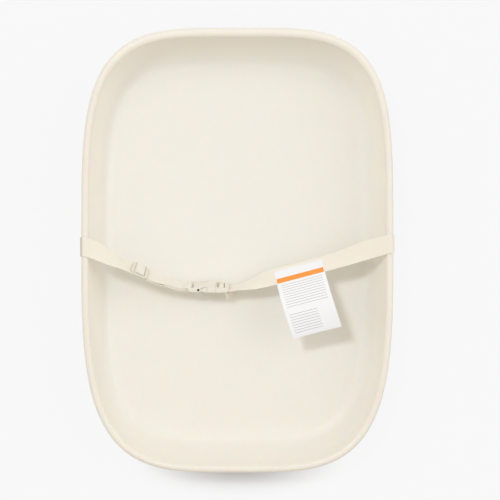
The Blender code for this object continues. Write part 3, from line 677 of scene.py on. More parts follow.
# Each pair is a share of half the width and a share of half the thickness, along one side
STRIP_SECTION_SHARES = (
    (-1.0, 0.0), (-0.99, 0.62), (-0.965, 0.95), (-0.93, 1.0), (-0.86, 0.90), (-0.5, 0.88), (0.0, 0.88),
    (0.5, 0.88), (0.86, 0.90), (0.93, 1.0), (0.965, 0.95), (0.99, 0.62), (1.0, 0.0),
)


def refine(stations):
    """Stations on a smooth curve through the given ones, a strip step apart or less."""
    packed = [Vector((*middle, *width)) for middle, width in stations]
    made = []
    for i in range(len(packed) - 1):
        gap = (stations[i + 1][0] - stations[i][0]).length
        around = packed[max(i - 1, 0):i + 3]
        steps = max(1, math.ceil(gap / STRIP_STEP))
        index = min(i, 1)
        curve = curve_through(around, steps)
        made += curve[index * steps:(index + 1) * steps]
    made.append(packed[-1])
    return [(Vector(row[:3]), Vector(row[3:]).normalized()) for row in made]


def add_mapped_face(bm, uv, corners):
    """A face on pairs of a vertex and its place on the UV map."""
    face = bm.faces.new([vert for vert, _ in corners])
    for loop, (_, place) in zip(face.loops, corners):
        loop[uv].uv = place


def strip(name, stations, start_distance=0.0, width=WEBBING_WIDTH,
          thickness_at=lambda share: WEBBING_THICKNESS):
    """A strip of webbing, UV-mapped in metres; its thickness is a function of the share of its length."""
    bm = bmesh.new()
    uv = bm.loops.layers.uv.new(WEBBING_UV)
    lower = [(side, -level) for side, level in reversed(STRIP_SECTION_SHARES[1:-1])]
    section = list(STRIP_SECTION_SHARES) + lower
    stations = refine(stations)
    rows = []
    distance = start_distance
    for i, (middle, side) in enumerate(stations):
        before = stations[max(i - 1, 0)][0]
        after = stations[min(i + 1, len(stations) - 1)][0]
        distance += (middle - before).length
        lift = side.cross((after - before).normalized()).normalized()
        thickness = thickness_at(i / (len(stations) - 1))
        row = []
        for share, level in section:
            place = middle + side * (share * width / 2) + lift * (level * thickness / 2)
            row.append((bm.verts.new(place), Vector((distance, share * width / 2))))
        rows.append(row)
    for first, second in zip(rows, rows[1:]):
        for i in range(len(section)):
            j = (i + 1) % len(section)
            add_mapped_face(bm, uv, (first[i], first[j], second[j], second[i]))
    for row in (rows[0], rows[-1]):
        add_mapped_face(bm, uv, row)
    made = make_object(name, bm, webbing_cloth)
    return made


def belt_stations(path):
    """Stations for a path of (distance along the belt, offset towards its front)."""
    stations = []
    for distance, offset in path:
        middle, _, width, front = belt_frame(distance)
        stations.append((middle + front * offset, width))
    return stations


def steps_between(start, end):
    """Distances from start to end, a route step apart or less, without the end."""
    count = max(1, math.ceil(abs(end - start) / ROUTE_STEP))
    return [mix(start, end, i / count) for i in range(count)]


def steps_to(start, end):
    """The same distances, and the end too."""
    return steps_between(start, end) + [end]


print("strip section points:", 2 * len(STRIP_SECTION_SHARES) - 2)

# %% [markdown]
# ## Over the rims
# On each side the webbing comes out of the channel under the mat, runs up the outer wall,
# wraps the rolled lip and goes down into the tray. The path outside follows the wall's own
# section, pushed out by half the webbing's thickness and a small gap, so the webbing hugs the
# foam. Inside, the strip's width turns gently from the rim's direction to the belt's own.

# %% Rim wraps
STUB_REACH = 0.040
STUB_END_X = HALF_WIDTH - STUB_REACH
CROSSWAYS = Vector((0, -1, 0))
CREST_X = HALF_WIDTH - LIP_WIDTH / 2
WALL_SECTION_STRIDE = 3
ENTRY_REACHES = (0.030, 0.015, 0.006)


def crossing(x, z):
    """A station outside the tray, where the belt's y differs a little from side to side."""
    y = mix(BELT_PLACES[0][1], BELT_PLACES[-1][1], (x + CREST_X) / (2 * CREST_X))
    return Vector((x, y, z)), CROSSWAYS


def wall_stations(side):
    """From the channel up the outer wall to just before the crest, on the left or the right."""
    section = wall_section(RIM_HEIGHT, SIDE_WALL_RUN)
    crest = (len(OUTER_WALL_SHARES) + LIP_STEPS // 2) * CURVE_STEPS
    stations = []
    for k in range(0, crest, WALL_SECTION_STRIDE):
        slope = (section[k + 1] - section[k]).normalized()
        moved = section[k] + Vector((-slope.y, slope.x)) * WEB_OFFSET
        if moved.y > CHANNEL_DEPTH - WEB_OFFSET:
            stations.append(crossing(side * (HALF_WIDTH - moved.x), moved.y))
    return stations


def entry_stations(side):
    """From inside the channel's mouth to its corner, where the webbing turns up the wall."""
    corner_x = wall_stations(side)[0][0].x
    return [crossing(corner_x - side * back, CHANNEL_DEPTH - WEB_OFFSET) for back in ENTRY_REACHES]


def stub_stations(crest, stub_end):
    """From the crest down into the tray, turning the width from the rim's way to the belt's."""
    _, _, end_width, _ = belt_frame(stub_end)
    stations = []
    for distance in steps_between(crest, stub_end):
        share = abs(distance - crest) / abs(stub_end - crest)
        width = CROSSWAYS.lerp(end_width, smooth(share)).normalized()
        stations.append((belt_frame(distance)[0], width))
    return stations


left_stub_end = distance_at(-STUB_END_X)
right_stub_end = distance_at(STUB_END_X)
left_rim = entry_stations(-1) + wall_stations(-1) + stub_stations(0, left_stub_end)
right_rim = entry_stations(1) + wall_stations(1) + stub_stations(BELT_LENGTH, right_stub_end)
print("rim stations:", len(left_rim), len(right_rim))

# %% [markdown]
# ## The left half of the belt
# The left half goes down the tray to the slider, on to the socket's bar, round it, and back to
# the slider's middle bar. The first part bends where it leaves the rim, so it is blended from
# the mat to the belt. The part beyond the slider is a strip of its own, and the two meet under
# the slider. The weave's distance runs on from one to the other. The belt's cut end is folded
# back between the loop's two layers, where it is sewn; it is a slightly narrower strip that
# fills the gap between them, so its thickness grows towards the socket.

# %% Left half
SOCKET_LENGTH = 0.0455
PARTING_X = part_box("buckle_socket")[1].x
SLIDER_DISTANCE = 0.0958
SLIDER_LENGTH = 0.0285
SLIDER_BAR_WIDTH = 0.0094
SLIDER_SLOT_WIDTH = 0.0042
SLIDER_BAR_THICKNESS = 0.0020
BUCKLE_BAR_THICKNESS = 0.0034
SOCKET_BAR_WIDTH = 0.0049
BAR_HUG = 0.0012
FOLD_WIDTH = 0.0286
FOLD_SHARES = (0.36, 0.995)
TURN_STEPS = 8
# Where the painted shade starts on the left wrap's outer side, and how fast it comes in
WRAP_SHADE_START_X = -0.2425
WRAP_SHADE_REACH = 0.0022
bar_level = BUCKLE_BAR_THICKNESS / 2 + WEB_OFFSET


def bar_turn(centre, start_deg, end_deg):
    """Points of (distance, offset) on an arc round a buckle's bar."""
    points = []
    for i in range(TURN_STEPS + 1):
        angle = math.radians(mix(start_deg, end_deg, i / TURN_STEPS))
        points.append((centre + bar_level * math.cos(angle), bar_level * math.sin(angle)))
    return points


left_path = [(d, 0) for d in steps_to(left_stub_end, SLIDER_DISTANCE)]
left_webbing = strip("belt_left_webbing", left_rim + belt_stations(left_path))
# Painted shade where the webbing goes down the outside of the left rim
wrap_shade_layer = left_webbing.data.attributes.new(WRAP_SHADE, "FLOAT", "POINT")
for vert in left_webbing.data.vertices:
    wrap_shade_layer.data[vert.index].value = smooth((WRAP_SHADE_START_X - vert.co.x) / WRAP_SHADE_REACH)
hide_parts("belt_left_run")
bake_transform(left_webbing)

parting = distance_at(PARTING_X)
socket_bar = parting - SOCKET_LENGTH + SOCKET_BAR_WIDTH
loop_start = SLIDER_DISTANCE + SLIDER_LENGTH / 2 + SLIDER_SLOT_WIDTH
loop_arrive = socket_bar - SOCKET_BAR_WIDTH
rear_level = -(WEBBING_THICKNESS + 2 * FIT_GAP)
fold_start, fold_end = (mix(loop_start, loop_arrive, share) for share in FOLD_SHARES)


def loop_levels(distance):
    """Offsets of the loop's front and rear layers, which part on the way to the socket's bar."""
    share = (distance - loop_start) / (loop_arrive - loop_start)
    return bar_level * share, mix(rear_level, -bar_level, share)


loop_path = [(d, 0) for d in steps_between(SLIDER_DISTANCE, loop_start)]
loop_path += [(d, loop_levels(d)[0]) for d in steps_to(loop_start, loop_arrive)]
loop_path += bar_turn(socket_bar - BAR_HUG, 90, -90)
loop_path += [(d, loop_levels(d)[1]) for d in steps_to(loop_arrive, loop_start)]
loop_path.append((SLIDER_DISTANCE - SLIDER_BAR_WIDTH / 2, rear_level))
loop_webbing = strip("buckle_loop_webbing", belt_stations(loop_path), SLIDER_DISTANCE)


def fold_thickness(share):
    """What the loop's two layers leave open between them, by a share of the fold's length."""
    front_level, back_level = loop_levels(mix(fold_start, fold_end, share))
    return front_level - back_level - WEBBING_THICKNESS - FIT_GAP


fold_path = [(d, sum(loop_levels(d)) / 2) for d in steps_to(fold_start, fold_end)]
fold_webbing = strip("folded_end_webbing", belt_stations(fold_path), 0.0, FOLD_WIDTH, fold_thickness)
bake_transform(fold_webbing)
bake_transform(loop_webbing)
print("left half:", len(left_webbing.data.vertices), "and", len(loop_webbing.data.vertices), "points")

# %% [markdown]
# ## The right half of the belt
# The right half runs over the tag's place to the plug. There it goes behind the end bar, up
# through the slot, over the middle bar and down again, and its spare end comes out behind as a
# short tail. This is how a ladder lock holds: pulling on the belt pinches the tail.

# %% Right half
PART_GAP = 0.0002
PLUG_FLANGE = 0.0013
PLUG_SLOT_WIDTH = 0.0055
PLUG_BAR_WIDTH = 0.0036
PLUG_FAR_SLOT_WIDTH = 0.0037
PLUG_END_BAR_WIDTH = 0.0067
TAIL_LENGTH = 0.024
# Each pair is a share of a plug slot from its outer edge and a share of the webbing's level there
LADDER_TURN_SHARES = ((-0.17, -1.0), (0.17, -0.90), (0.33, -0.55), (0.67, 0.55), (0.83, 0.90), (1.17, 1.0))
# Each row is a share of the tail's length along the belt and behind it, and how far it has turned
TAIL_SHARES = ((0.17, 0.03, 0.0), (0.29, 0.12, -0.10), (0.39, 0.26, -0.22), (0.47, 0.40, -0.32),
               (0.54, 0.54, -0.38))
TAIL_DROOP = 0.012
TAIL_SETTLE_SHARE = 2 / 3

ladder_bar = parting + PART_GAP + PLUG_FLANGE + PLUG_SLOT_WIDTH
end_slot = ladder_bar + PLUG_BAR_WIDTH
end_bar = end_slot + PLUG_FAR_SLOT_WIDTH
plug_end = end_bar + PLUG_END_BAR_WIDTH
settle = plug_end + TAIL_LENGTH
right_path = [(d, 0) for d in steps_between(right_stub_end, settle)]
for d in steps_to(settle, plug_end):
    right_path.append((d, -bar_level * smooth((settle - d) / (settle - plug_end))))
right_path += [(end_bar - PLUG_FAR_SLOT_WIDTH * share, bar_level * up) for share, up in LADDER_TURN_SHARES]
right_path += bar_turn(ladder_bar + BAR_HUG, 90, 270)
tail_level = -(bar_level + WEBBING_THICKNESS + FIT_GAP)
right_path.append(((ladder_bar + end_slot) / 2, mix(-bar_level, tail_level, TAIL_SETTLE_SHARE)))
right_path.append((end_slot, tail_level))
right_stations = right_rim + belt_stations(right_path)
for onward, behind, turned in TAIL_SHARES:
    middle, direction, width, front = belt_frame(end_slot + TAIL_LENGTH * onward)
    place = middle + front * (tail_level - TAIL_LENGTH * behind) - Vector((0, 0, TAIL_DROOP * behind))
    right_stations.append((place, (width + direction * turned).normalized()))
right_webbing = strip("belt_right_webbing", right_stations)
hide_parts("belt_right_run")
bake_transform(right_webbing)
print("right half:", len(right_webbing.data.vertices), "points")

# %% [markdown]
# ## Under the mat
# Between the two channel mouths the webbing lies in the channel and passes over the bridges,
# so the belt can't be pulled off the mat. Nobody sees it unless the mat is turned over, so a
# strip over five stations is enough.

# %% Under the mat
bridge_reach = HALF_WIDTH * BRIDGE_PLACE_SHARE + BRIDGE_LENGTH
under_z = BRIDGE_THICKNESS + WEB_OFFSET
bridge_stations = [crossing(x, under_z) for x in (-bridge_reach, 0.0, bridge_reach)]
under_webbing = strip("belt_under_webbing", [left_rim[0], *bridge_stations, right_rim[0]])
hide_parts("belt_back_run")
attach(under_webbing, "mat")
print("under the mat:", round((right_rim[0][0] - left_rim[0][0]).length, 3), "m")

# %% [markdown]
# ## The moulded plastic
# The slider and the buckle are acetal, moulded in an off-white that is a little greyer than the
# webbing. The slider's plastic is painted a touch darker, as painted shade. A moulded surface
# has a fine spark-eroded grain, and it is about as glossy as the foam. A Bevel node would fake
# soft edges, but these pieces will have real ones.

# %% Plastic material
PLASTIC_LIGHT = (0.830, 0.800, 0.715)
PLASTIC_DARK = (0.800, 0.770, 0.685)
# The slider's two tones are a darker copy of the buckle's plastic: painted shade
SLIDER_LIGHT = (0.770, 0.735, 0.640)
SLIDER_DARK = (0.745, 0.710, 0.610)
PLASTIC_ROUGHNESS, SLIDER_ROUGHNESS = 0.48, 0.55
MOTTLE_SIZE = 0.012
GRAIN_SIZE = 0.00035
GRAIN_DEPTH = 0.00002


def plastic(name, light, dark, roughness):
    """A moulded plastic with two near tones and a fine grain."""
    made, tree, shader = start_material(name, light, roughness)
    colour = blend_colours(tree, noise_of(tree, MOTTLE_SIZE), light, dark)
    add_relief(tree, shader, noise_of(tree, GRAIN_SIZE), GRAIN_DEPTH, colour)
    return made


moulded_plastic = plastic("moulded_plastic", PLASTIC_LIGHT, PLASTIC_DARK, PLASTIC_ROUGHNESS)
shaded_slider_plastic = plastic("shaded_slider_plastic", SLIDER_LIGHT, SLIDER_DARK, SLIDER_ROUGHNESS)
print("plastics:", moulded_plastic.name, shaded_slider_plastic.name)

# %% [markdown]
# ## Prisms and shells
# Two kinds of block make all the fittings. A prism is a flat outline with a thickness, which
# suits plates and holes. A shell is a rounded rectangle swept along x whose width and height
# change on the way, which suits a buckle: it is full in the middle and thin at its ends. Holes
# are cut with Booleans, and a narrow Bevel then takes the edge off everything, because nothing
# comes out of a mould with a knife edge.

# %% Prisms and shells
OUTLINE_STEPS, CORNER_STEPS, END_STEPS = 8, 5, 4
SHELL_STEPS = 22
SHELL_CORNER_SHARE = 0.7
SOFT_EDGE = 0.00022
SOFT_EDGE_SEGMENTS = 2
BEVEL_ANGLE = math.radians(42)


def rounded_outline(left, right, near, far, left_radius, right_radius, steps=OUTLINE_STEPS):
    """A rectangle whose two left and two right corners have their own radius."""
    corners = (
        (right - right_radius, far - right_radius, right_radius, 0),
        (left + left_radius, far - left_radius, left_radius, 90),
        (left + left_radius, near + left_radius, left_radius, 180),
        (right - right_radius, near + right_radius, right_radius, 270),
    )
    points = []
    for x, y, radius, start in corners:
        for i in range(steps + 1):
            angle = math.radians(start + 90 * i / steps)
            points.append((x + radius * math.cos(angle), y + radius * math.sin(angle)))
    return points


def prism(points, low, high):
    """A flat outline in X and Y, between two heights."""
    bm = bmesh.new()
    bottom = [bm.verts.new((x, y, low)) for x, y in points]
    top = [bm.verts.new((x, y, high)) for x, y in points]
    bm.faces.new(bottom)
    bm.faces.new(top)
    add_ring_faces(bm, bottom, top)
    return bm


def rounded_prism(left, right, half, corner, low, high):
    """A prism on a rectangle with round corners, as wide to either side of the X axis."""
    return prism(rounded_outline(left, right, -half, half, corner, corner), low, high)


def box_prism(left, right, near, far, low, high):
    """A prism on a plain rectangle."""
    return prism([(left, near), (right, near), (right, far), (left, far)], low, high)


def shell(start, end, width_at, height_at, start_edge, end_edge, middle_at=lambda x: 0.0):
    """A closed body along X; the half width, half height and middle are functions of x."""
    turns = [math.pi / 2 * i / END_STEPS for i in range(END_STEPS)]
    rounding = [(1 - math.cos(turn), 1 - math.sin(turn)) for turn in turns]
    places = [(start + start_edge * inward, start_edge * shrink) for inward, shrink in rounding]
    for i in range(SHELL_STEPS + 1):
        places.append((mix(start + start_edge, end - end_edge, i / SHELL_STEPS), 0.0))
    places += [(end - end_edge * inward, end_edge * shrink) for inward, shrink in reversed(rounding)]
    bm = bmesh.new()
    rings = []
    for x, shrink in places:
        y, width, height = middle_at(x), width_at(x) - shrink, height_at(x) - shrink
        radius = min(width, height, start_edge) * SHELL_CORNER_SHARE
        ring = rounded_outline(y - width, y + width, -height, height, radius, radius, CORNER_STEPS)
        rings.append([bm.verts.new((x, *place)) for place in ring])
    for low, high in zip(rings, rings[1:]):
        add_ring_faces(bm, low, high)
    bm.faces.new(rings[0])
    bm.faces.new(rings[-1])
    return bm


def moulded(name, bm, cuts, matrix, node, body, finish=moulded_plastic):
    """A plastic piece with holes cut in it and soft edges, in place of one CAD node."""
    piece = make_object(name, bm, finish)
    helpers = add_holes(piece, cuts)
    soft = piece.modifiers.new("soft edges", "BEVEL")
    soft.width = SOFT_EDGE
    soft.segments = SOFT_EDGE_SEGMENTS
    soft.limit_method = "ANGLE"
    soft.angle_limit = BEVEL_ANGLE
    apply_modifiers(piece, helpers)
    piece.data.transform(matrix)
    shade(piece.data)
    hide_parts(node)
    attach(piece, body)
    print(name, "has", len(piece.data.polygons), "faces")


def fitting_matrix(distance):
    """Frame of a stiff piece on the belt: x along it, z out of its front face."""
    middle, direction, width, front = belt_frame(distance)
    turn = Matrix((direction, -width, front)).transposed()
    return Matrix.Translation(middle) @ turn.to_4x4()


print("soft edges:", SOFT_EDGE * 1000, "mm")

# %% [markdown]
# ## The slider
# The slider is a rounded plate with two slots and a thinner bar between them. It sits a little
# askew on the webbing, as sliders do once a belt has been pulled tight a few times. A prism
# makes the plate, because it is the same all through; its rim is rounded before the slots are
# cut, so that they keep crisp edges.

# %% Slider
SLIDER_WIDTH = 0.038
SLIDER_THICKNESS = 0.0023
SLIDER_CORNER = 0.0085
SLIDER_SKEW = math.radians(-8)
SLIDER_EDGE, SLIDER_EDGE_SEGMENTS = 0.0011, 3
SLOT_HALF = 0.0154
SLOT_CORNER = 0.0011

slider_place = fitting_matrix(SLIDER_DISTANCE) @ Matrix.Rotation(SLIDER_SKEW, 4, "Z")
plate = rounded_prism(-SLIDER_LENGTH / 2, SLIDER_LENGTH / 2, SLIDER_WIDTH / 2, SLIDER_CORNER, WEB_OFFSET,
                      WEB_OFFSET + SLIDER_THICKNESS)
bmesh.ops.recalc_face_normals(plate, faces=plate.faces)
rims = [edge for edge in plate.edges if edge.calc_face_angle(0.0) > BEVEL_ANGLE]
bmesh.ops.bevel(plate, geom=rims, offset=SLIDER_EDGE, segments=SLIDER_EDGE_SEGMENTS, profile=0.5,
                affect="EDGES")
bar_half = SLIDER_BAR_WIDTH / 2
slots = []
for left in (-bar_half - SLIDER_SLOT_WIDTH, bar_half):
    slots.append(rounded_prism(left, left + SLIDER_SLOT_WIDTH, SLOT_HALF, SLOT_CORNER, -SLIDER_THICKNESS,
                               2 * SLIDER_THICKNESS))
slots.append(box_prism(-bar_half - FIT_GAP, bar_half + FIT_GAP, -SLOT_HALF, SLOT_HALF,
                       WEB_OFFSET + SLIDER_BAR_THICKNESS, 2 * SLIDER_THICKNESS))
moulded("slider_frame", plate, slots, slider_place, "belt_slider", "slider", shaded_slider_plastic)

# %% [markdown]
# ## Webbing over the slider's bar
# The webbing comes up through one slot, climbs over the bar and goes down through the other.
# That hump is a short strip of its own, made in the slider's frame, so that it travels with
# the slider. Its ends dip into the belt, where nobody can see that they stop.

# %% Webbing over the slider's bar
# Each pair is a share of a slot from its outer edge and a share of the rise over the bar
HUMP_SHARES = ((-0.6, 0.0), (-0.15, 0.05), (0.15, 0.30), (0.50, 0.76), (0.80, 0.96), (1.15, 1.0))
slot_edge = SLIDER_BAR_WIDTH / 2 + SLIDER_SLOT_WIDTH
hump_rise = FIT_GAP + SLIDER_BAR_THICKNESS + 2 * WEB_OFFSET
hump_path = [(-slot_edge + SLIDER_SLOT_WIDTH * share, hump_rise * up) for share, up in HUMP_SHARES]
hump_path += [(-place, up) for place, up in reversed(hump_path)]
hump_width = (slider_place.to_3x3() @ CROSSWAYS).normalized()
hump_stations = [(slider_place @ Vector((place, 0, up)), hump_width) for place, up in hump_path]
hump = strip("slider_hump_webbing", hump_stations, SLIDER_DISTANCE)
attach(hump, "slider")
print("hump rises", round(hump_rise * 1000, 2), "mm")

# %% [markdown]
# ## The socket
# The socket is the female half of the buckle. It is hollow, so that the plug's arms can slide
# in, and each side has a window whose outline curves across the front and back plates: that is
# where the fingers press. A bar across its thin end holds the webbing. A shell makes the outside
# and Booleans take out the rest, as the cores of a mould do.

# %% Socket
BUCKLE_HALF_WIDTH = 0.0192
BUCKLE_HALF_HEIGHT = 0.0042
BUCKLE_THIN_HALF_HEIGHT = 0.0028
BUCKLE_EDGE = 0.0013
MOUTH_EDGE = 0.0003
BUCKLE_CORNER = 0.005
SIDE_WALL = 0.0034
CAVITY_DEPTH = 0.030
CAVITY_HALF_HEIGHT = 0.0025
SOCKET_SLOT_END = 0.0105
TAPER_START = 0.006
WINDOW_START, WINDOW_END = -0.0296, -0.0138
WINDOW_HALF_HEIGHT = 0.0021
WINDOW_ROUNDING = 0.9 * WINDOW_HALF_HEIGHT
# Each pair is a distance behind the mouth and a depth of the arch in the plates
ARCH_PLACES = ((0.0138, 0.0010), (0.0139, 0.0038), (0.0148, 0.0048), (0.0166, 0.0052), (0.0190, 0.0050),
               (0.0214, 0.0042), (0.0238, 0.0029), (0.0260, 0.0014), (0.0276, 0.0002))


def round_off(full, radius, distance):
    """Half a size near an end whose corners are rounded by a radius."""
    reach = min(distance, radius)
    return full - radius + math.sqrt(radius ** 2 - (radius - reach) ** 2)


def socket_height(x):
    """Half the socket's height, which gets thinner towards the belt."""
    share = (-x - TAPER_START) / (SOCKET_LENGTH - TAPER_START)
    return mix(BUCKLE_HALF_HEIGHT, BUCKLE_THIN_HALF_HEIGHT, min(1.0, max(0.0, share)))


buckle_place = fitting_matrix(parting)
inside = BUCKLE_HALF_WIDTH - SIDE_WALL
high = 2 * BUCKLE_HALF_HEIGHT
beyond = BUCKLE_HALF_WIDTH + SIDE_WALL


def bar_cuts(slot_places, left, right):
    """The slots beside a buckle half's bar, and what is cut away above and below the bar."""
    level = BUCKLE_BAR_THICKNESS / 2
    made = [rounded_prism(start, end, inside, SLOT_CORNER, -high, high) for start, end in slot_places]
    for low, top in ((level, high), (-high, -level)):
        made.append(box_prism(left, right, -inside, inside, low, top))
    return made


bar_right = SOCKET_BAR_WIDTH - SOCKET_LENGTH
slot_right = -SOCKET_LENGTH + SOCKET_SLOT_END
cuts = [box_prism(-CAVITY_DEPTH, SIDE_WALL, -inside, inside, -CAVITY_HALF_HEIGHT, CAVITY_HALF_HEIGHT)]
cuts += bar_cuts([(bar_right, slot_right)], -SOCKET_LENGTH - SIDE_WALL, bar_right + FIT_GAP)


def window_height(x):
    """Half the window's height, which is rounded off at its outer end."""
    return round_off(WINDOW_HALF_HEIGHT, WINDOW_ROUNDING, x - WINDOW_START + FIT_GAP)


for side in (-1, 1):
    curve = curve_through([Vector(place) for place in ARCH_PLACES], CURVE_STEPS)
    arch = [(-place.x, side * (BUCKLE_HALF_WIDTH - place.y)) for place in curve]
    arch += [(arch[-1][0], side * beyond), (arch[0][0], side * beyond)]
    cuts.append(prism(arch, -high, high))
    cuts.append(shell(WINDOW_START, WINDOW_END, lambda x: SIDE_WALL + FIT_GAP, window_height, MOUTH_EDGE,
                      MOUTH_EDGE, lambda x: side * BUCKLE_HALF_WIDTH))
socket_shell = shell(-SOCKET_LENGTH, 0,
                     lambda x: round_off(BUCKLE_HALF_WIDTH, BUCKLE_CORNER, x + SOCKET_LENGTH),
                     socket_height, BUCKLE_EDGE, MOUTH_EDGE)
moulded("socket_shell", socket_shell, cuts, buckle_place, "buckle_socket", "socket")

# %% [markdown]
# ## The plug
# The plug carries a ladder of two slots for the webbing, and a flat tongue that keeps it
# straight in the socket. Its frame gets thinner towards the belt, like the socket's, so it is
# made in the same way. The tongue is a prism of its own, sunk into the frame.

# %% Plug
TONGUE_LENGTH = 0.020
TONGUE_HALF_WIDTH = 0.0040
ARM_HALF_THICKNESS = 0.0021
PLUG_TAPER_START = 0.006

plug_far = plug_end - parting


def plug_height(x):
    """Half the plug's height, which gets thinner towards the belt."""
    share = (x - PLUG_TAPER_START) / (plug_far - PLUG_TAPER_START)
    return mix(BUCKLE_HALF_HEIGHT, BUCKLE_THIN_HALF_HEIGHT, smooth(share))


first_slot = PART_GAP + PLUG_FLANGE
second_slot = first_slot + PLUG_SLOT_WIDTH + PLUG_BAR_WIDTH
plug_slots = [(first_slot, first_slot + PLUG_SLOT_WIDTH), (second_slot, second_slot + PLUG_FAR_SLOT_WIDTH)]
cuts = bar_cuts(plug_slots, first_slot + FIT_GAP, plug_far + SIDE_WALL)
plug_shell = shell(PART_GAP, plug_far, lambda x: round_off(BUCKLE_HALF_WIDTH, BUCKLE_CORNER, plug_far - x),
                   plug_height, MOUTH_EDGE, BUCKLE_EDGE)
moulded("plug_frame", plug_shell, cuts, buckle_place, "buckle_plug", "belt")

tongue_outline = rounded_outline(-TONGUE_LENGTH, first_slot - FIT_GAP, -TONGUE_HALF_WIDTH, TONGUE_HALF_WIDTH,
                                 TONGUE_HALF_WIDTH / 2, MOUTH_EDGE)
tongue_bm = prism(tongue_outline, -ARM_HALF_THICKNESS, ARM_HALF_THICKNESS)
moulded("plug_tongue", tongue_bm, [], buckle_place, "buckle_plug", "belt")

# %% [markdown]
# ## The spring arms
# Each arm leaves the plug beside the tongue, and its end is a hooked pad that snaps into a
# window. The pad's outer face is taller than the arm, to give the finger something to press.
# The arm is a prism with a smooth outline, and the pad's grip is a small shell beside it.

# %% Spring arms
ARM_ROOT_PLACE = 0.0110
ARM_ROOT_HALF = 0.0015
ARM_INNER = 0.0042
ARM_OUTER = 0.0068
CATCH_X = -0.0144
ARM_TIP_X = -0.0264
GRIP_START, GRIP_END = -0.0262, -0.0141
GRIP_HALF_WIDTH = 0.0007
GRIP_FALL = 0.0026
GRIP_FALL_LENGTH = 0.007
GRIP_RISE_START = -0.0225
GRIP_RISE_LENGTH = 0.004
GRIP_SINK = 0.0003
# Each pair is a share of the way from the catch to the tip and a share of the pad's reach outwards
PAD_SHARES = ((0.0, 0.90), (0.05, 0.98), (0.14, 1.0), (0.32, 1.0), (0.45, 0.92), (0.60, 0.70), (0.75, 0.40),
              (0.90, 0.05), (1.0, -0.25))


def grip_height(x):
    """Half the grip's height, which is as full as the socket except at its tip."""
    rise = smooth((x - GRIP_RISE_START) / GRIP_RISE_LENGTH)
    return mix(ARM_HALF_THICKNESS, socket_height(x) - GRIP_SINK, rise)


def grip_middle(x):
    """How far from the buckle's middle line the grip is, which falls towards its tip."""
    fall = GRIP_FALL * (1 - smooth((x - GRIP_START) / GRIP_FALL_LENGTH))
    return BUCKLE_HALF_WIDTH - GRIP_SINK - GRIP_HALF_WIDTH - fall


for side, end_name in ((1, "head_side"), (-1, "foot_side")):
    node, body = "buckle_arm_" + end_name, "arm_" + end_name
    points = [(0.0, -ARM_ROOT_HALF), (0.0, ARM_ROOT_HALF)]
    points += [(CATCH_X + 2 * ARM_ROOT_HALF, ARM_INNER - ARM_ROOT_HALF / 2), (CATCH_X, ARM_INNER)]
    points += [(mix(CATCH_X, ARM_TIP_X, along), mix(ARM_INNER, ARM_OUTER, out)) for along, out in PAD_SHARES]
    back = ARM_INNER - 2 * ARM_ROOT_HALF
    points += [(ARM_TIP_X, back), (CATCH_X - 2 * ARM_ROOT_HALF, back), (CATCH_X / 2, -ARM_ROOT_HALF)]
    outline_points = [(x, side * (ARM_ROOT_PLACE + y)) for x, y in points]
    arm_bm = prism(outline_points, -ARM_HALF_THICKNESS + FIT_GAP, ARM_HALF_THICKNESS - FIT_GAP)
    moulded("arm_" + end_name, arm_bm, [], buckle_place, node, body)
    grip_bm = shell(GRIP_START, GRIP_END, lambda x: GRIP_HALF_WIDTH, grip_height, MOUTH_EDGE, MOUTH_EDGE,
                    lambda x: side * grip_middle(x))
    moulded("grip_" + end_name, grip_bm, [], buckle_place, node, body)

# %% [markdown]
# ## The sewn tag
# The tag is a piece of coated white fabric, stitched to the webbing along its upper strip and
# hanging free below. It is a thin closed sheet with its own UV map in metres, across and down.
# The print is made from that map: a plain orange bar, and below it grey rules in a long and a
# short block, as on a label to write on. Image textures could do this, but a few sums stay
# sharp at any size.

# %% Tag material
TAG_WIDTH = 0.079
TAG_SEWN_LENGTH = 0.024
TAG_FREE_LENGTH = 0.094
TAG_LENGTH = TAG_SEWN_LENGTH + TAG_FREE_LENGTH
TAG_THICKNESS = 0.0005
TAG_UV = "tag_metres"
TAG_WHITE = (0.872, 0.882, 0.905)
TAG_ROUGHNESS = 0.6
BAR_ORANGE = (0.905, 0.315, 0.045)
RULE_GREY = (0.42, 0.42, 0.43)
BAR_TOP, BAR_BOTTOM = 0.0155, 0.0245
BAR_MARGIN = 0.0012
LONG_RULES_TOP, LONG_RULES_BOTTOM = 0.0290, 0.0715
SHORT_RULES_TOP, SHORT_RULES_BOTTOM = 0.0780, 0.1130
SHORT_RULES_END = 0.0120
RULE_PITCH = 0.0042
RULE_THICKNESS = 0.0009
RULE_MARGIN = 0.0060
RULE_INK = 0.75
TAG_WEAVE_SIZE, TAG_WEAVE_DEPTH = 0.0006, 0.00003


def inside_block(tree, place, left, right, top, bottom):
    """1 where a place on the UV map lies in a block, and 0 elsewhere."""
    tests = []
    for value, low, high in zip(place, (left, top), (right, bottom)):
        above = calculate(tree, "GREATER_THAN", value, low)
        below = calculate(tree, "LESS_THAN", value, high)
        tests.append(calculate(tree, "MULTIPLY", above, below))
    return calculate(tree, "MULTIPLY", *tests)


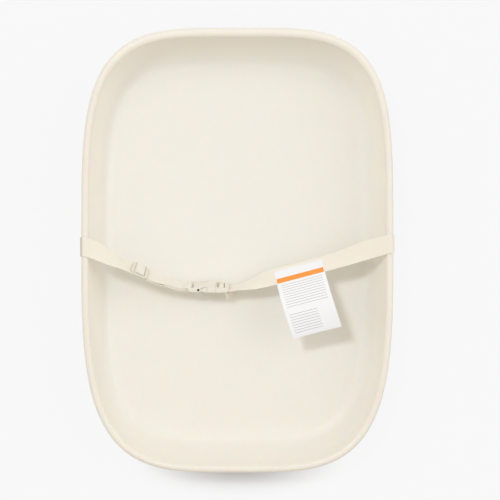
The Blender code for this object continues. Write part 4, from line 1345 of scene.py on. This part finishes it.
tag_cloth, tree, shader = start_material("tag_cloth", TAG_WHITE, TAG_ROUGHNESS)
place = metres_of(tree, TAG_UV)
edge = TAG_WIDTH / 2
bar = inside_block(tree, place, BAR_MARGIN - edge, edge - BAR_MARGIN, BAR_TOP, BAR_BOTTOM)
left, right = RULE_MARGIN - edge, edge - RULE_MARGIN
long_rules = inside_block(tree, place, left, right, LONG_RULES_TOP, LONG_RULES_BOTTOM)
short_rules = inside_block(tree, place, left, SHORT_RULES_END, SHORT_RULES_TOP, SHORT_RULES_BOTTOM)
row_place = calculate(tree, "FLOORED_MODULO", place[1], RULE_PITCH)
rule = calculate(tree, "LESS_THAN", row_place, RULE_THICKNESS)
rule = calculate(tree, "MULTIPLY", rule, calculate(tree, "ADD", long_rules, short_rules))
ruled = blend_colours(tree, calculate(tree, "MULTIPLY", rule, RULE_INK), TAG_WHITE, RULE_GREY)
printed = blend_colours(tree, bar, ruled, BAR_ORANGE)
add_relief(tree, shader, noise_of(tree, TAG_WEAVE_SIZE), TAG_WEAVE_DEPTH, printed)
print("tag material has", len(tree.nodes), "nodes")

# %% [markdown]
# ## The tag's shape
# The sewn strip is flat on the webbing. Below it the tag droops in a long curve, is a little
# askew, and its corners curl slightly forward, as a stiff label does. The sheet is made in the
# belt's own frame at the tag's place, from rows down its length.

# %% Tag
TAG_X = 0.09708
TAG_DROOP = math.radians(55)
TAG_SKEW = 0.060
TAG_ROWS = 40
TAG_COLUMNS = 24
TAG_CURL = 0.0016
TAG_RISE = WEBBING_THICKNESS / 2 + FIT_GAP


def tag_line():
    """The tag's side view: (y, z) at each row, and the direction out of its front."""
    rows = []
    y, z = 0.0, 0.0
    step = TAG_LENGTH / TAG_ROWS
    for i in range(TAG_ROWS + 1):
        share = max(0.0, (i * step - TAG_SEWN_LENGTH) / TAG_FREE_LENGTH)
        turn = TAG_DROOP * share
        rows.append((y, z, Vector((0, -math.sin(turn), math.cos(turn)))))
        y -= step * math.cos(turn)
        z -= step * math.sin(turn)
    return rows


def tag_mesh():
    """A thin closed sheet with a UV map in metres, across and down."""
    bm = bmesh.new()
    uv = bm.loops.layers.uv.new(TAG_UV)
    places = {}
    for i, (y, z, outward) in enumerate(tag_line()):
        share = max(0.0, i / TAG_ROWS - TAG_SEWN_LENGTH / TAG_LENGTH)
        for j in range(TAG_COLUMNS + 1):
            across_share = 2 * j / TAG_COLUMNS - 1
            curl = TAG_CURL * share * across_share ** 2
            x = across_share * TAG_WIDTH / 2 - y * TAG_SKEW
            mapped = (across_share * TAG_WIDTH / 2, i * TAG_LENGTH / TAG_ROWS)
            for face_side in (0, 1):
                place = Vector((x, y, z)) + outward * (curl + face_side * TAG_THICKNESS)
                places[i, j, face_side] = (bm.verts.new(place), mapped)

    def add(corners):
        add_mapped_face(bm, uv, [places[corner] for corner in corners])

    for i in range(TAG_ROWS):
        for j in range(TAG_COLUMNS):
            for side in (0, 1):
                add([(i, j, side), (i, j + 1, side), (i + 1, j + 1, side), (i + 1, j, side)])
        for j in (0, TAG_COLUMNS):
            add([(i, j, 0), (i, j, 1), (i + 1, j, 1), (i + 1, j, 0)])
    for j in range(TAG_COLUMNS):
        for i in (0, TAG_ROWS):
            add([(i, j, 0), (i, j, 1), (i, j + 1, 1), (i, j + 1, 0)])
    return bm


sewn_edge = Matrix.Translation((0, TAG_SEWN_LENGTH - WEBBING_WIDTH / 2, TAG_RISE))
tag_place = fitting_matrix(distance_at(TAG_X)) @ sewn_edge
tag_bm = tag_mesh()
bmesh.ops.transform(tag_bm, matrix=tag_place, verts=tag_bm.verts)
tag = make_object("printed_tag", tag_bm, tag_cloth)
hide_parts("sewn_tag")
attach(tag, "tag")
print("tag faces:", len(tag.data.polygons))

# %% [markdown]
# ## The seam
# Two rows of stitches hold the tag. Each stitch is a small block of thread, longer than the gap
# to the next one. A texture could draw them, but as real blocks they catch the light.

# %% Seam
STITCH_PITCH = 0.0027
STITCH_SIZE = (0.0019, 0.00040, 0.00030)
SEAM_ROWS = (-0.0020, -0.0130)
SEAM_MARGIN = 0.0030
THREAD_WHITE = (0.880, 0.868, 0.840)
THREAD_ROUGHNESS = 0.7
THREAD_TWIST_SIZE, THREAD_TWIST_DEPTH = 0.0003, 0.00002

thread, tree, shader = start_material("thread", THREAD_WHITE, THREAD_ROUGHNESS)
add_relief(tree, shader, noise_of(tree, THREAD_TWIST_SIZE), THREAD_TWIST_DEPTH)
seam_bm = bmesh.new()
stitch_count = int((TAG_WIDTH - 2 * SEAM_MARGIN) / STITCH_PITCH)
for row_y in SEAM_ROWS:
    for i in range(stitch_count + 1):
        x = (i - stitch_count / 2) * STITCH_PITCH - row_y * TAG_SKEW
        stitch = Matrix.Translation((x, row_y, TAG_THICKNESS)) @ Matrix.Diagonal((*STITCH_SIZE, 1.0))
        bmesh.ops.create_cube(seam_bm, size=1.0, matrix=tag_place @ stitch)
seam = make_object("tag_stitches", seam_bm, thread)
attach(seam, "tag")
print("stitches:", 2 * (stitch_count + 1))

# %% [markdown]
# ## Stage and light
# A pale floor carries the mat and its shadow. For the camera the floor is mostly its own white,
# so the studio sweep stays even, as in a product photograph. Only at the mat's foot does the
# white give way to the paint, a dark grey, as far as the mat itself closes the floor in, which
# the Ambient Occlusion node tells. The shadow there is the lamps' own, deepened by the dark
# paint as painted shade. A painted patch would look right from above alone.
# The light is soft: a bright even world, one lamp from the head end, to the left, that shades
# the head wall and throws the belt's shadow towards the foot, and two wide ones from the sides
# that keep the walls light. The world is a little warmer than the lamps, so the shadows are too.

# %% Stage
FLOOR_SIZE = 60.0
FLOOR_WHITE = (0.960, 0.960, 0.960)
# The dark paint deepens the shadow at the mat's foot: painted shade
FLOOR_PAINT = (0.650, 0.657, 0.675)
FLOOR_ROUGHNESS = 0.9
WORLD_STRENGTH = 0.68
WORLD_COLOUR = (1.0, 0.920, 0.820)
LAMP_COLOUR = (0.869, 0.931, 1.0)
# Lamps: name, strength, apparent size, elevation and azimuth from the head end to the right, in degrees
LAMPS = (("key", 0.92, 10, 63, -42), ("right_fill", 0.79, 50, 35, 75), ("left_fill", 0.22, 50, 30, -80))
FLOOR_SELF_WHITE = 0.93
SHADOW_MIDDLE = (0.002, -0.345)
SHADOW_REACH = (0.185, 0.060)
CONTACT_REACH = 0.090
CONTACT_GAIN = 4.0
CONTACT_SAMPLES = 8

floor_mesh = bpy.data.meshes.new("floor")
corners = [(x * FLOOR_SIZE / 2, y * FLOOR_SIZE / 2, 0) for x, y in ((-1, -1), (1, -1), (1, 1), (-1, 1))]
floor_mesh.from_pydata(corners, [], [(0, 1, 2, 3)])
floor = bpy.data.objects.new("floor", floor_mesh)
bpy.context.scene.collection.objects.link(floor)


def seen_share(tree):
    """1 for what is seen, in a gloss or through glass too, and 0 for what lights the mat."""
    rays = add_node(tree, "LightPath").outputs
    seen = calculate(tree, "MAXIMUM", rays["Is Camera Ray"], rays["Is Glossy Ray"])
    return calculate(tree, "MAXIMUM", seen, rays["Is Transmission Ray"])


floor_paint, tree, shader = start_material("floor_paint", FLOOR_PAINT, FLOOR_ROUGHNESS)
glow = add_node(tree, "Emission", {"Color": FLOOR_WHITE})
floor_point = add_node(tree, "SeparateXYZ", {"Vector": add_node(tree, "TexCoord").outputs["Object"]})
squares = []
for value, middle, reach in zip(floor_point.outputs, SHADOW_MIDDLE, SHADOW_REACH):
    offset = calculate(tree, "DIVIDE", calculate(tree, "SUBTRACT", value, middle), reach)
    squares.append(calculate(tree, "MULTIPLY", offset, offset))
from_foot = calculate(tree, "SQRT", calculate(tree, "ADD", *squares))
near_foot = add_node(tree, "MapRange", {"Value": from_foot, "To Min": 1.0, "To Max": 0.0},
                     interpolation_type="SMOOTHSTEP")
# Painted shade: where the mat closes the floor in near its foot, the dark paint shows
contact = add_node(tree, "AmbientOcclusion", {"Distance": CONTACT_REACH}, samples=CONTACT_SAMPLES)
closed = calculate(tree, "MULTIPLY", calculate(tree, "SUBTRACT", 1.0, contact.outputs["AO"]), CONTACT_GAIN)
dark = calculate(tree, "MULTIPLY", calculate(tree, "MINIMUM", closed, 1.0), near_foot.outputs["Result"])
white = calculate(tree, "MULTIPLY_ADD", dark, -FLOOR_SELF_WHITE, FLOOR_SELF_WHITE)
both = add_node(tree, "MixShader", {"Fac": calculate(tree, "MULTIPLY", white, seen_share(tree))})
tree.links.new(shader.outputs["BSDF"], both.inputs[1])
tree.links.new(glow.outputs["Emission"], both.inputs[2])
tree.links.new(both.outputs["Shader"], tree.nodes["Material Output"].inputs["Surface"])
floor_mesh.materials.append(floor_paint)

world = bpy.data.worlds.new("studio")
world.use_nodes = True
bpy.context.scene.world = world
tree = world.node_tree
background = tree.nodes["Background"]
seen = seen_share(tree)
strength = calculate(tree, "MULTIPLY_ADD", seen, FLOOR_WHITE[0] - WORLD_STRENGTH, WORLD_STRENGTH)
tint = blend_colours(tree, seen, WORLD_COLOUR, (1.0, 1.0, 1.0))
tree.links.new(tint, background.inputs["Color"])
tree.links.new(strength, background.inputs["Strength"])

for name, strength, size, elevation, azimuth in LAMPS:
    lamp_data = bpy.data.lights.new(name, "SUN")
    lamp_data.energy = strength
    lamp_data.color = LAMP_COLOUR
    lamp_data.angle = math.radians(size)
    lamp = bpy.data.objects.new(name, lamp_data)
    turn = Matrix.Rotation(-math.radians(azimuth), 3, "Z") @ Matrix.Rotation(math.radians(elevation), 3, "X")
    lamp.rotation_mode = "QUATERNION"
    lamp.rotation_quaternion = (turn @ Vector((0, 1, 0))).to_track_quat("Z", "Y")
    bpy.context.scene.collection.objects.link(lamp)
    print(name, "from", [round(v, 2) for v in turn @ Vector((0, 1, 0))])

# %% [markdown]
# ## Finish
# The view transform is Standard, so that a colour renders as it is written.

# %% Finish
bpy.context.scene.view_settings.view_transform = "Standard"
bpy.context.view_layer.update()
